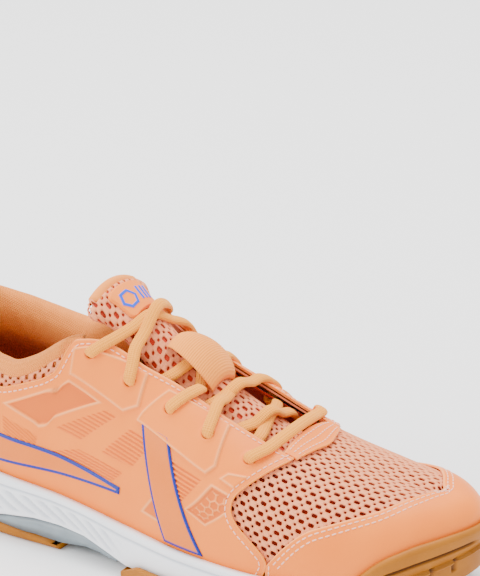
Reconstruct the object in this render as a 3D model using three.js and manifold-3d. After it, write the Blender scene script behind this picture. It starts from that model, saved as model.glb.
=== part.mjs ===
// A low indoor court shoe for the right foot, built as the separate pieces that it is lasted, stitched and
// cemented from. Millimetres, +X towards the toe, +Y towards the inner side of the foot, +Z up.
//
// The upper is wrapped over a last. The last's outside is the surface last(q, v): q runs once round the foot,
// from the heel (0) along the outer side to the toe (0.5) and back along the inner side to the heel (1), and v
// climbs the wall from the footbed (0) to the ridge of the instep (1). Every piece of the upper is a patch of
// that surface, set off from it along its normal by the thickness of the layers under it.

import * as THREE from "three";
import { mergeVertices } from "three/addons/utils/BufferGeometryUtils.js";
import Module from "manifold-3d";

const wasm = await Module();
wasm.setup();

// ---------------------------------------------------------------- driving sizes

const shoeLength = 276;
const ballWidth = 97; // of the last, across its widest place
const instepHeight = 117; // of the last, at the top of the tongue

const clearance = 0.3; // between pieces that touch
const textile = 1.0; // open mesh and collar fabric
const leather = 1.2; // synthetic leather panels
const foxing = 0.8; // thin films and overlays on the panels
const stiffener = 0.8; // heel counter, toe puff and eyestay tape
const lining = 0.8;
const collarPadding = 6.5; // the foam's thickness at its fullest
const tonguePadding = 2.5;

const outsole = 4.0; // rubber under the forefoot
const heelRubber = 6.5; // rubber under the heel
const rubberWall = 2.6; // the toe bumper and the rubber's sides
const midsoleRim = 3.2; // the foam's side wall round the upper
const board = 1.5; // lasting board
const socklinerThickness = 4.0;
const toeSpring = 20; // how far the sole has left the ground at the tip

const eyeletRadius = 2.9;
const tongueWidth = 54; // at its middle, on a last of the table's width

// ---------------------------------------------------------------- the last

// Sections of the last from the heel to the toe: x, z, and y on the outer and on the inner side. Each table is
// one line of control points, from the footbed's edge up to the ridge, at the size named under it.
const featherLine = [
  [6, 24, 0, 0], [11, 24, -18, 18], [29, 23, -30, 29], [58, 21, -35, 33], [92, 18.5, -36, 30],
  [126, 15.5, -40, 31], [160, 12.5, -45, 38], [196, 12.5, -47, 44], [229, 16, -40, 44],
  [255, 23, -22, 35], [269, 28, 10, 10],
];
const bellyLine = [
  [-5, 46, 0, 0], [3, 46, -24, 24], [25, 45, -36, 35], [57, 44, -40, 38], [92, 44, -39, 33],
  [127, 44, -43, 34], [161, 42, -50, 42], [197, 40, -53, 50], [231, 40, -46, 50],
  [260, 42, -25, 40], [277, 43, 10, 10],
];
const shoulderLine = [
  [0, 78, 0, 0], [5, 78, -18, 18], [26, 77, -29, 29], [57, 78, -33, 33], [95, 90, -36, 35],
  [132, 92, -38, 35], [165, 80, -38, 36], [198, 66, -34, 35], [230, 58, -27, 32],
  [256, 54, -14, 26], [270, 52, 9, 9],
];
const ridgeLine = [
  [20, 116, 0, 0], [24, 115, -13, 13], [36, 113, -21, 21], [60, 113, -26, 26], [104, 117, -12, 12],
  [140, 92, 0, 0], [170, 76, 0, 0], [198, 64, 1, 1], [224, 57, 3, 3], [243, 52, 6, 6], [252, 49, 8, 8],
];
const tableLength = 276;
const tableWidth = 97;
const tableHeight = 117;
const scaleX = shoeLength / tableLength;
const scaleY = ballWidth / tableWidth;
const scaleZ = instepHeight / tableHeight;

// A closed line of points, out along the outer side and back along the inner one.
function closedLine(rows) {
  const outer = rows.map(([x, z, y]) => new THREE.Vector3(x * scaleX, y * scaleY, z * scaleZ));
  const inner = rows.map(([x, z, , y]) => new THREE.Vector3(x * scaleX, y * scaleY, z * scaleZ));
  return [...outer, ...inner.slice(1, -1).reverse()];
}
const lines = [featherLine, bellyLine, shoulderLine, ridgeLine].map(closedLine);

// Catmull-Rom through values of any length: numbers or vectors as arrays.
function spline(p0, p1, p2, p3, f) {
  return 0.5 * (2 * p1 + (p2 - p0) * f + (2 * p0 - 5 * p1 + 4 * p2 - p3) * f ** 2
    + (3 * p1 - p0 - 3 * p2 + p3) * f ** 3);
}
function onLoop(points, q) {
  const n = points.length;
  const t = (((q % 1) + 1) % 1) * n;
  const i = Math.floor(t);
  const [a, b, c, d] = [i + n - 1, i, i + 1, i + 2].map((k) => points[k % n]);
  return new THREE.Vector3(...["x", "y", "z"].map((k) => spline(a[k], b[k], c[k], d[k], t - i)));
}
// A smooth open curve through rows of numbers; s runs from 0 to 1.
function through(rows, s) {
  const t = THREE.MathUtils.clamp(s, 0, 1) * (rows.length - 1);
  const i = Math.min(Math.floor(t), rows.length - 2);
  const at = (k) => rows[THREE.MathUtils.clamp(k, 0, rows.length - 1)];
  return rows[0].map((_, k) => spline(at(i - 1)[k], at(i)[k], at(i + 1)[k], at(i + 2)[k], t - i));
}
// Straight-line interpolation in a table of [place, value], held at its ends.
function between(table, place) {
  if (place <= table[0][0]) return table[0][1];
  for (let i = 1; i < table.length; i += 1) {
    const [a, b] = [table[i - 1], table[i]];
    if (place <= b[0]) return THREE.MathUtils.mapLinear(place, a[0], b[0], a[1], b[1]);
  }
  return table.at(-1)[1];
}

const fold = (q) => Math.min(Math.abs(q), Math.abs(1 - q)); // both sides of the foot alike

// The last's surface. Past v = 1 the wall runs on over the ridge and down the other side.
function last(q, v) {
  if (v > 1) return last(1 - q, 2 - v);
  const [f, b, c, t] = lines.map((line) => onLoop(line, q));
  const u = 1 - v;
  return f.multiplyScalar(u ** 3).addScaledVector(b, 3 * u * u * v)
    .addScaledVector(c, 3 * u * v * v).addScaledVector(t, v ** 3);
}
const ridgeBand = 0.985; // nearer the ridge than this, both sides share one normal
function lastNormal(q, v) {
  if (v > 1) return lastNormal(1 - q, 2 - v);
  if (v > ridgeBand && Math.abs(q - 0.5) < 0.25) {
    return lastNormal(q, ridgeBand).add(lastNormal(1 - q, ridgeBand)).normalize();
  }
  const h = 0.004;
  const along = last(q + h, v).sub(last(q - h, v));
  const up = last(q, Math.min(v + h, 1)).sub(last(q, Math.max(v - h, 0)));
  return along.cross(up).normalize();
}
function onLast(q, v, offset) {
  return last(q, v).addScaledVector(lastNormal(q, v), offset);
}
// The v at which the wall at q reaches a height.
function wallAt(q, z) {
  let [low, high] = [0, 0.9];
  for (let i = 0; i < 24; i += 1) {
    const middle = (low + high) / 2;
    if (last(q, middle).z < z) low = middle;
    else high = middle;
  }
  return low;
}
// The feather line pushed straight out, seen from above.
function outFromFeather(q, distance, z) {
  const h = 0.004;
  const along = last(q + h, 0).sub(last(q - h, 0));
  const out = new THREE.Vector3(along.y, -along.x, 0).normalize();
  const point = last(q, 0).addScaledVector(out, distance);
  point.z = z;
  return point;
}

// ---------------------------------------------------------------- layers, measured out from the last

const meshLayer = [-0.3 - textile, -0.3];
const panelLayer = [0.2, 0.2 + leather];
const filmLayer = [panelLayer[1] + clearance, panelLayer[1] + clearance + foxing];
const stiffLayer = [meshLayer[0] - clearance - stiffener, meshLayer[0] - clearance];
const liningLayer = [stiffLayer[0] - clearance - lining, stiffLayer[0] - clearance];

// ---------------------------------------------------------------- building solids

// A mesh from points and triangles, turned the right way out.
function solid(points, triangles) {
  const geometry = new THREE.BufferGeometry();
  geometry.setAttribute("position", new THREE.Float32BufferAttribute(points.flatMap((p) => p.toArray()), 3));
  const volume = triangles.reduce((sum, [a, b, c]) => sum
    + points[a].dot(new THREE.Vector3().crossVectors(points[b], points[c])), 0);
  geometry.setIndex(triangles.flatMap(([a, b, c]) => (volume < 0 ? [a, c, b] : [a, b, c])));
  return geometry;
}

// A sheet with a thickness: two grids of points, joined along their edges. Columns that weld share their last
// point with the mirrored column, which closes the sheet over the ridge.
function sheet(columns, rows, back, face, welds = () => false) {
  const points = [];
  const index = {};
  [back, face].forEach((surface, side) => {
    for (let i = 0; i <= columns; i += 1) {
      for (let j = 0; j <= rows; j += 1) {
        const twin = `${side},${columns - i},${j}`;
        if (j === rows && welds(i / columns) && twin in index) {
          index[`${side},${i},${j}`] = index[twin];
        } else {
          index[`${side},${i},${j}`] = points.length;
          points.push(surface(i / columns, j / rows));
        }
      }
    }
  });
  const at = (side, i, j) => index[`${side},${i},${j}`];
  const triangles = [];
  const quad = (a, b, c, d) => triangles.push([a, b, c], [a, c, d]);
  for (let i = 0; i < columns; i += 1) {
    for (let j = 0; j < rows; j += 1) {
      quad(at(1, i, j), at(1, i + 1, j), at(1, i + 1, j + 1), at(1, i, j + 1));
      quad(at(0, i, j), at(0, i, j + 1), at(0, i + 1, j + 1), at(0, i + 1, j));
    }
    quad(at(0, i, 0), at(0, i + 1, 0), at(1, i + 1, 0), at(1, i, 0));
    if (!(welds(i / columns) && welds((i + 1) / columns))) {
      quad(at(1, i, rows), at(1, i + 1, rows), at(0, i + 1, rows), at(0, i, rows));
    }
  }
  for (let j = 0; j < rows; j += 1) {
    quad(at(0, 0, j + 1), at(0, 0, j), at(1, 0, j), at(1, 0, j + 1));
    quad(at(0, columns, j), at(0, columns, j + 1), at(1, columns, j + 1), at(1, columns, j));
  }
  return solid(points, triangles.filter(([a, b, c]) => a !== b && b !== c && a !== c));
}

// A patch of the last at a layer's two offsets. Its rear and front edges are q against the share of its
// height, and its lower and upper edges are v against q, each a table or a number.
function value(edge, place) {
  if (typeof edge === "function") return edge(place);
  return Array.isArray(edge) ? between(edge, place) : edge;
}
function patch(columns, rows, { rear, front, low, high }, [inside, outside], welds) {
  const place = (offset) => (s, t) => {
    const q = THREE.MathUtils.lerp(value(rear, t), value(front, t), s);
    return onLast(q, THREE.MathUtils.lerp(value(low, fold(q)), value(high, fold(q)), t), offset);
  };
  return sheet(columns, rows, place(inside), place(outside), welds);
}
const mirrored = (edge) => (Array.isArray(edge) ? edge.map(([t, q]) => [t, 1 - q]) : 1 - edge);
const innerSide = (edges) => ({ ...edges, rear: mirrored(edges.rear), front: mirrored(edges.front) });

// A solid lofted through closed rings of equal count, its two ends closed straight across.
function ringSolid(rings) {
  const n = rings[0].length;
  const triangles = [];
  const quad = (a, b, c, d) => triangles.push([a, b, c], [a, c, d]);
  rings.slice(1).forEach((_, k) => {
    for (let i = 0; i < n; i += 1) {
      const j = (i + 1) % n;
      quad(k * n + i, k * n + j, (k + 1) * n + j, (k + 1) * n + i);
    }
  });
  const end = (rings.length - 1) * n;
  for (let i = 0; i < n / 2 - 1; i += 1) {
    quad(i, n - 1 - i, n - 2 - i, i + 1);
    quad(end + i, end + i + 1, end + n - 2 - i, end + n - 1 - i);
  }
  return solid(rings.flat(), triangles);
}
// Places round the whole foot, alike on both sides.
const round = (count) => Array.from({ length: count }, (_, i) => (i + 0.5) / count);

function toManifold(geometry) {
  const bare = new THREE.BufferGeometry().setAttribute("position", geometry.getAttribute("position"));
  bare.setIndex(geometry.index);
  const merged = mergeVertices(bare, 1e-4);
  return new wasm.Manifold(new wasm.Mesh({
    numProp: 3,
    vertProperties: merged.attributes.position.array,
    triVerts: new Uint32Array(merged.index.array),
  }));
}
function fromManifold(body) {
  const mesh = body.getMesh();
  const geometry = new THREE.BufferGeometry();
  geometry.setAttribute("position", new THREE.BufferAttribute(new Float32Array(mesh.vertProperties), 3));
  return geometry.setIndex(new THREE.BufferAttribute(new Uint32Array(mesh.triVerts), 1));
}
function cut(geometry, tools) {
  return fromManifold(tools.reduce((body, tool) => body.subtract(toManifold(tool)), toManifold(geometry)));
}

const shoe = new THREE.Group();
function add(name, geometry, color, roughness) {
  geometry.computeVertexNormals();
  const mesh = new THREE.Mesh(geometry, new THREE.MeshStandardMaterial({ color, roughness, metalness: 0 }));
  mesh.name = name;
  shoe.add(mesh);
}
const peach = 0xf2a46f;
const orange = 0xe8914a;
const meshPink = 0xe9b79d;
const rust = 0xb8452a;
const gold = 0xf0a020;
const gum = 0xc98a2b;
const white = 0xf2f3f5;
const grey = 0x7f898e;

// ---------------------------------------------------------------- sole heights

const heelBevel = 6;
const springStart = 200 * scaleX;
// The ground side of the sole: flat, with the back of the heel bevelled and the toe sprung.
function ground(x) {
  const heel = Math.max(0, 20 * scaleX - x) / (20 * scaleX);
  const toe = Math.max(0, x - springStart) / (shoeLength - springStart);
  return heelBevel * heel ** 2 + toeSpring * toe ** 2;
}
const heelEnd = 90 * scaleX; // where the heel rubber stops
const foreStart = 126 * scaleX; // where the forefoot rubber starts
// The heel rubber thins towards its front end.
const heelTop = (x) => ground(x) + between([[45 * scaleX, heelRubber], [heelEnd, 2.5]], x);
// The foam's underside lies on the two rubbers, and between them it arches over the plate.
const archRise = 7; // of the foam, above the heel rubber, at the middle of the arch
function foamBottom(x) {
  const rest = between([[45, heelRubber], [132, outsole]], x / scaleX) + clearance;
  const arch = between([[45, 0], [60, 0.62], [76, 1], [92, 1.08], [106, 0.96], [118, 0.5], [130, 0]], x / scaleX);
  return ground(x) + rest + arch * archRise;
}
const rimHeights = [
  [0, 38], [0.05, 37], [0.1, 34], [0.15, 31], [0.2, 27.5], [0.25, 23.5], [0.3, 20.5], [0.36, 20],
  [0.4, 23], [0.5, 29],
];
const isToe = (q) => THREE.MathUtils.smoothstep(fold(q), 0.375, 0.405);
const featherHeight = (q) => last(q, 0).z;
// The foam's wall stands up round the upper, except in the toe, where the rubber takes its place.
const rimTop = (q) => THREE.MathUtils.lerp(
  between(rimHeights, fold(q)) * scaleZ, featherHeight(q) - clearance, isToe(q));

// ---------------------------------------------------------------- side faces of the bottom unit
// Each is a distance out from the feather line, at a height.

const aroundUpper = panelLayer[1] + 2 * clearance;
function upperOut(q, z) {
  if (z <= featherHeight(q)) return aroundUpper;
  const away = outFromFeather(q, 1, 0).sub(outFromFeather(q, 0, 0));
  return last(q, wallAt(q, z)).sub(last(q, 0)).dot(away) + aroundUpper;
}
const foamShare = (q, z) => (z - foamBottom(last(q, 0).x)) / (rimTop(q) - foamBottom(last(q, 0).x));
function foamOut(q, z) {
  const share = THREE.MathUtils.clamp(foamShare(q, z), 0, 1);
  const lean = (upperOut(q, rimTop(q)) - aroundUpper) * share;
  const wall = aroundUpper + midsoleRim + lean + 1.2 * Math.sin(Math.PI * share);
  const least = z > featherHeight(q) - clearance ? upperOut(q, z) + 1 : 0;
  return Math.max(THREE.MathUtils.lerp(wall, 1.2, isToe(q)), least);
}
const foamIn = (q, z) => (rimTop(q) > featherHeight(q) ? upperOut(q, z) : -1.5);
const rubberGap = 4 * clearance; // filled with cement
const rubberIn = (q, z) => (z <= rimTop(q) + 1
  ? Math.max(foamOut(q, z) + rubberGap, upperOut(q, z)) : upperOut(q, z) + clearance);

// ---------------------------------------------------------------- bottom unit

const soleStations = round(76);
const boardBottom = (q) => featherHeight(q) - board - 3 * clearance;

function midsole() {
  const places = soleStations;
  const ring = (height, out) => places.map((q) => outFromFeather(q, out(q, height(q)), height(q)));
  const at = (share) => (q) => THREE.MathUtils.lerp(foamBottom(last(q, 0).x), rimTop(q), share);
  const inside = (share) => (q) => THREE.MathUtils.lerp(boardBottom(q), rimTop(q), share);
  return ringSolid([
    ring(at(0), () => 0), ring(at(0), (q, z) => foamOut(q, z) - 1), ring(at(0.12), foamOut), ring(at(0.5), foamOut),
    ring(at(1), foamOut), ring(inside(1), foamIn), ring(inside(0.5), foamIn), ring(inside(0), foamIn),
  ]);
}

// The gel pad is let into the foam from below, so its pocket opens onto the heel rubber.
const pad = { from: 13, to: 43, halfWidth: 15, height: 7 };
function padBlock(grow) {
  const shape = new THREE.Shape();
  const length = (pad.to - pad.from) * scaleX;
  shape.absellipse(0, 0, length / 2 + grow, pad.halfWidth * scaleY + grow, 0, 2 * Math.PI);
  const open = grow ? 3 : 0;
  const depth = pad.height + grow + open;
  const block = new THREE.ExtrudeGeometry(shape, { depth, bevelEnabled: false, curveSegments: 10 });
  return block.translate(((pad.from + pad.to) / 2) * scaleX, 0, heelRubber + 2.5 * clearance - open);
}

function heelOutsole() {
  const reach = 0.197;
  const places = round(32).map((s) => (2 * s - 1) * reach);
  const at = (out, height) => places.map((q) => outFromFeather(q, out, height(last(q, 0).x)));
  const side = aroundUpper + midsoleRim - 0.6;
  return ringSolid([
    at(side - 2.5, ground), at(side - 0.6, (x) => ground(x) + 1.6), at(side, (x) => ground(x) + 2.2), at(side, heelTop),
  ]);
}

const bumperTop = [
  [0.257, 9], [0.28, 8], [0.36, 9], [0.39, 13], [0.41, 20], [0.42, 27], [0.432, 33], [0.452, 37.5], [0.475, 39.5],
  [0.5, 40],
];
function forefootOutsole() {
  const places = soleStations.filter((q) => fold(q) > 0.254);
  const floor = (q) => ground(last(q, 0).x) + outsole;
  const rear = Math.min(...places.map(fold));
  const rise = (q) => Math.max(0.01, THREE.MathUtils.smoothstep(fold(q), rear, rear + 0.014));
  const top = (q) => floor(q) + rise(q) * Math.max(between(bumperTop, fold(q)) * scaleZ - floor(q), 2);
  const wall = (share, thick) => places.map((q) => {
    const z = THREE.MathUtils.lerp(floor(q), top(q), share);
    return outFromFeather(q, rubberIn(q, z) + thick, z);
  });
  const tread = (inset, rise) => places.map((q) => outFromFeather(
    q, rubberIn(q, floor(q)) + rubberWall - inset, ground(last(q, 0).x) + rise));
  const shelf = places.map((q) => outFromFeather(q, 0.5, floor(q)));
  return ringSolid([
    tread(2.6, 0), tread(0, 2.2), wall(0.3, rubberWall), wall(0.65, rubberWall), wall(1, rubberWall - 0.8),
    wall(1, 0), wall(0.65, 0), wall(0.3, 0), wall(0, 0), shelf,
  ]);
}

// A hard plate bridges the arch. Its ends lie between the foam and the two rubbers.
function shank() {
  const [from, to] = [46 * scaleX, foreStart - 3];
  const reach = [0.1385, 0.2475];
  const place = (height) => (s, t) => {
    const q = THREE.MathUtils.lerp(reach[0], reach[1], s);
    const point = outFromFeather(q, 3.4, 0).lerp(outFromFeather(1 - q, 3.4, 0), t);
    point.x = THREE.MathUtils.lerp(from, to, s);
    point.z = height(point.x);
    return point;
  };
  const under = (x) => Math.max(x < heelEnd + 2 ? heelTop(x) + clearance : 0,
    between([[60, 4.2], [90, 3.4], [105, 5.6], [123, 4.6]], x / scaleX));
  return sheet(16, 2, place(under), place((x) => Math.max(foamBottom(x) - 2.5 * clearance, under(x) + 0.4)));
}

// A flat layer cut to the footbed, drawn in from the feather line.
function insole(inset, bottom, thickness) {
  const place = (rise) => (s, t) => {
    const q = THREE.MathUtils.lerp(0.012, 0.488, s);
    const point = outFromFeather(q, -inset, featherHeight(q)).lerp(outFromFeather(1 - q, -inset, featherHeight(q)), t);
    point.z += bottom + rise;
    return point;
  };
  return sheet(22, 2, place(0), place(thickness));
}

add("outsole_forefoot", forefootOutsole(), gum, 0.55);
add("outsole_heel", heelOutsole(), gum, 0.55);
add("midfoot_shank", shank(), grey, 0.4);
add("midsole", cut(midsole(), [padBlock(clearance)]), white, 0.6);
add("heel_gel_pad", padBlock(0), 0x5aa7d8, 0.3);
add("lasting_board", insole(2.6, -board - clearance, board), 0xd9d2c3, 0.9);
add("sockliner", insole(-liningLayer[0] + 3 * clearance, 0, socklinerThickness), 0xe2793f, 0.9);

// ---------------------------------------------------------------- edges of the upper's panels

// v of the top of the padded collar, of the panels' top edge below it and of the throat's edge, against q.
const collarTop = [
  [0, 0.84], [0.05, 0.83], [0.1, 0.785], [0.13, 0.745], [0.157, 0.705], [0.172, 0.735], [0.183, 0.79], [0.19, 0.81],
];
const panelTop = [
  [0.036, 0.78], [0.06, 0.72], [0.09, 0.63], [0.12, 0.59], [0.15, 0.585], [0.177, 0.625], [0.186, 0.66], [0.189, 0.79],
  [0.208, 0.81], [0.235, 0.787], [0.289, 0.795], [0.36, 0.795],
];
const windowRear = [[0, 0.352], [0.2, 0.36], [0.33, 0.345], [0.42, 0.33], [0.55, 0.327], [0.75, 0.338], [1, 0.352]];
const guardTop = [
  [0.352, 0.06], [0.361, 0.19], [0.378, 0.385], [0.406, 0.515], [0.423, 0.59], [0.442, 0.72], [0.47, 0.86], [0.5, 0.93],
];

// ---------------------------------------------------------------- upper: vamp and toe

// The mesh runs in under the quarters' front edges, and stops at the tape along the throat.
const allRound = () => true;
const meshRear = [[0, 0.335], [0.2, 0.33], [0.35, 0.318], [0.56, 0.318], [0.6, 0.344], [1, 0.344]];
add("vamp_mesh", patch(28, 10, { rear: meshRear, front: mirrored(meshRear), low: 0.02, high: 1 }, meshLayer, allRound),
  meshPink, 0.95);
add("toe_puff", patch(16, 3, { rear: 0.396, front: 0.604, low: 0.02, high: 0.3875 }, stiffLayer), 0xefe7da, 0.6);
add("toe_guard", patch(26, 7, { rear: 0.358, front: 0.642, low: 0.02, high: guardTop }, panelLayer), peach, 0.45);
const strapFront = [[0, 0.353], [0.5, 0.362], [1, 0.353]];
add("vamp_strap", patch(3, 8, { rear: 0.343, front: strapFront, low: 0.81, high: 1.19 }, panelLayer), peach, 0.45);

// ---------------------------------------------------------------- collar's mesh band

// A patch round the heel, from the outer side to the inner one.
function heelPatch(columns, rows, reach, low, high, layer) {
  return patch(columns, rows, { rear: -reach, front: reach, low, high }, layer);
}
const seam = 0.07; // of v, between the lining's outer seam and the collar's top
const meshTop = collarTop.map(([q, v]) => [q, v - seam - 0.01]);
const collarMesh = (layer) => heelPatch(30, 4, 0.1875, 0.5, meshTop, layer);
add("collar_mesh", collarMesh(meshLayer), meshPink, 0.95);
const collarMeshRoom = collarMesh([meshLayer[0] - clearance, 0]);

// ---------------------------------------------------------------- upper: quarters and eyelets

const eyelets = [[0.203, 0.745], [0.232, 0.695], [0.264, 0.67], [0.295, 0.668], [0.327, 0.665]];
const [outerSide, innerQ] = [(q) => q, (q) => 1 - q];

// A punch through every layer at an eyelet.
function punch([q, v], side) {
  const length = 14;
  const tool = new THREE.CylinderGeometry(eyeletRadius, eyeletRadius, length, 8);
  const turn = new THREE.Quaternion().setFromUnitVectors(new THREE.Vector3(0, 1, 0), lastNormal(side(q), v));
  const centre = onLast(side(q), v, 0);
  return tool.applyMatrix4(new THREE.Matrix4().compose(centre, turn, new THREE.Vector3(1, 1, 1)));
}
const quarter = { rear: 0.036, front: windowRear, low: 0.015, high: panelTop };
const aboveRim = (q) => wallAt(q, rimTop(q) + 1.2);
const tape = { rear: 0.196, front: 0.335, low: 0.58, high: panelTop };
const liningTop = panelTop.map(([q, v]) => [q, v - 0.035]);
const quarterLining = { rear: 0.196, front: 0.341, low: 0.02, high: liningTop };
const saddle = { rear: [[0, 0.285], [1, 0.25]], front: [[0, 0.315], [1, 0.272]], low: aboveRim, high: 0.56 };
const dart = { rear: 0.1, front: 0.245, low: [[0.1, 0.2], [0.245, 0.22]], high: [[0.1, 0.42], [0.245, 0.25]] };
for (const [side, place, edges] of [["lateral", outerSide, (e) => e], ["medial", innerQ, innerSide]]) {
  const punches = eyelets.map((eyelet) => punch(eyelet, place));
  add(`quarter_${side}`, cut(patch(26, 8, edges(quarter), panelLayer), [...punches, collarMeshRoom]), peach, 0.45);
  add(`eyestay_tape_${side}`, cut(patch(9, 2, edges(tape), [-0.4 - stiffener, -0.4]), punches), 0xd8c6b4, 0.9);
  add(`quarter_lining_${side}`, cut(patch(9, 5, edges(quarterLining), liningLayer), punches), rust, 0.9);
  add(`saddle_panel_${side}`, patch(2, 6, edges(saddle), filmLayer), orange, 0.35);
  add(`heel_dart_${side}`, patch(10, 2, edges(dart), filmLayer), orange, 0.35);
}
add("vamp_lining", patch(22, 7, { rear: 0.345, front: 0.655, low: 0.02, high: 1 }, liningLayer, allRound), rust, 0.9);

// ---------------------------------------------------------------- upper: heel and collar

add("heel_backstay", heelPatch(4, 7, 0.033, 0.015, 0.77, panelLayer), peach, 0.45);
add("heel_counter", heelPatch(14, 3, 0.085, aboveRim, [[0, 0.5], [0.04, 0.48], [0.085, 0.3]], filmLayer), peach, 0.4);
add("heel_stiffener", heelPatch(14, 3, 0.125, 0.04, 0.38, stiffLayer), 0xe8e4da, 0.6);

// A closed section in (v, offset), carried round the heel from one end of the collar to the other.
function collarSweep(section, reach, columns) {
  const profiles = Array.from({ length: columns + 1 }, (_, i) => {
    const q = THREE.MathUtils.lerp(-reach, reach, i / columns);
    return section(between(collarTop, fold(q)), fold(q)).map(([v, offset]) => onLast(q, v, offset));
  });
  const flat = section(0.8, 0).map(([v, offset]) => new THREE.Vector2(v * 100, offset));
  const n = flat.length;
  const turns = THREE.ShapeUtils.isClockWise(flat);
  const caps = THREE.ShapeUtils.triangulateShape(flat, []).map(([a, b, c]) => (
    THREE.ShapeUtils.isClockWise([flat[a], flat[b], flat[c]]) === turns ? [a, b, c] : [a, c, b]));
  const triangles = caps.flatMap(([a, b, c]) => [[a, c, b], [a, b, c].map((k) => columns * n + k)]);
  for (let i = 0; i < columns; i += 1) {
    for (let j = 0; j < n; j += 1) {
      const [a, b] = [i * n + j, i * n + ((j + 1) % n)];
      triangles.push([a, b, b + n], [a, b + n, a + n]);
    }
  }
  return solid(profiles.flat(), triangles);
}
const padBack = meshLayer[0] - clearance;
const thin = (q) => THREE.MathUtils.mapLinear(THREE.MathUtils.smoothstep(q, 0.15, 0.187), 0, 1, 1, 0.3);
function foamSection(top, q) {
  const thick = collarPadding * thin(q);
  return [
    [top - 0.32, padBack], [top - 0.04, padBack], [top - 0.022, padBack - 0.25 * thick],
    [top - 0.03, padBack - 0.7 * thick], [top - 0.07, padBack - thick], [top - 0.16, padBack - thick],
    [top - 0.26, padBack - 0.5 * thick], [top - 0.32, padBack - 0.8],
  ];
}
function liningSection(top, q) {
  const thick = collarPadding * thin(q);
  const inner = padBack - clearance;
  const low = liningLayer[1];
  return [
    [top - seam, -0.1], [top - 0.02, 0.3], [top, padBack - 0.2 * thick], [top - 0.008, inner - 0.75 * thick - lining],
    [top - 0.05, inner - thick - lining - 0.2], [top - 0.16, inner - thick - lining - 0.2],
    [top - 0.27, inner - 0.5 * thick - lining - 0.3], [top - 0.36, low - lining], [0.02, low - lining],
    [0.02, low], [top - 0.36, low], [top - 0.27, inner - 0.5 * thick - 0.3], [top - 0.16, inner - thick - 0.1],
    [top - 0.065, inner - thick - 0.1], [top - 0.02, inner - 0.75 * thick], [top - 0.012, padBack - 0.2 * thick],
    [top - 0.03, padBack + clearance - 0.1], [top - seam, -1.1],
  ];
}
add("collar_foam", collarSweep(foamSection, 0.185, 26), 0xf0e2b8, 0.95);
add("collar_lining", collarSweep(liningSection, 0.187, 26), 0xe0a06c, 0.95);

// ---------------------------------------------------------------- tongue

// Stations of the tongue's upper face from its seam at the vamp to its free end: x, z, half width, drop at
// the edges.
const tongueStations = [
  [200, 57, 19, 6], [184, 64.5, 22, 12.5], [164, 75, 21, 16], [144, 85.5, 19, 16.5], [126, 97.5, 16, 15.5],
  [113, 107.5, 17, 11], [104, 113.5, 19, 9], [98, 117, 23, 8], [95, 118.5, 18, 5],
];
function tongueAt(s, across, depth) {
  const [x, z, half, drop] = through(tongueStations, s);
  const [nx, nz] = through(tongueStations, s + 0.01);
  const [px, pz] = through(tongueStations, s - 0.01);
  const along = new THREE.Vector3(nx - px, 0, nz - pz).normalize();
  const wide = half * (tongueWidth / 54) * scaleY;
  const slope = new THREE.Vector3(0, wide, -2 * drop * across).normalize();
  const normal = along.cross(slope).normalize();
  if (normal.z < 0) normal.negate();
  return new THREE.Vector3(x * scaleX, wide * across, z * scaleZ - drop * across * across)
    .addScaledVector(normal, -depth);
}
function tongueSheet(columns, rows, from, to, reach, top, bottom) {
  const place = (depth) => (s, t) => {
    const along = THREE.MathUtils.lerp(from, to, s);
    return tongueAt(along, (2 * t - 1) * reach, typeof depth === "number" ? depth : depth(2 * t - 1));
  };
  return sheet(columns, rows, place(bottom), place(top));
}
const tongueFoamDepth = [textile + 2 * clearance, textile + 2 * clearance + tonguePadding];
const tongueLiningDepth = tongueFoamDepth[1] + clearance;
add("tongue_mesh", tongueSheet(14, 6, 0, 1, 1, 0, textile), meshPink, 0.95);
add("tongue_foam", tongueSheet(13, 6, 0.02, 0.97, 0.93, ...tongueFoamDepth), 0xf0e2b8, 0.95);
add("tongue_lining", tongueSheet(13, 6, 0, 1, 1, tongueLiningDepth, tongueLiningDepth + lining), rust, 0.9);
add("tongue_badge", tongueSheet(3, 4, 0.8, 0.93, 0.42, -clearance - 1, -clearance), peach, 0.5);

// ---------------------------------------------------------------- lace

const laceRadius = 1; // of the round core that stands for the lace
const over = (side, q, v) => onLast(side(q), v, panelLayer[1] + 2.5 * clearance + laceRadius);
const beneath = (side, q, v) => onLast(side(q), v, liningLayer[0] - 2 * clearance - laceRadius);
const lip = (side, q) => onLast(side(q), 0.83, 1.8);
const edge = (side, q) => onLast(side(q), 0.828, -3.4);
const hole = (side, row, offset) => onLast(side(eyelets[row][0]), eyelets[row][1], offset);
const into = (side, row) => [hole(side, row, 3.1), hole(side, row, -4.9)];
const outOf = (side, row) => into(side, row).reverse();
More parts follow.
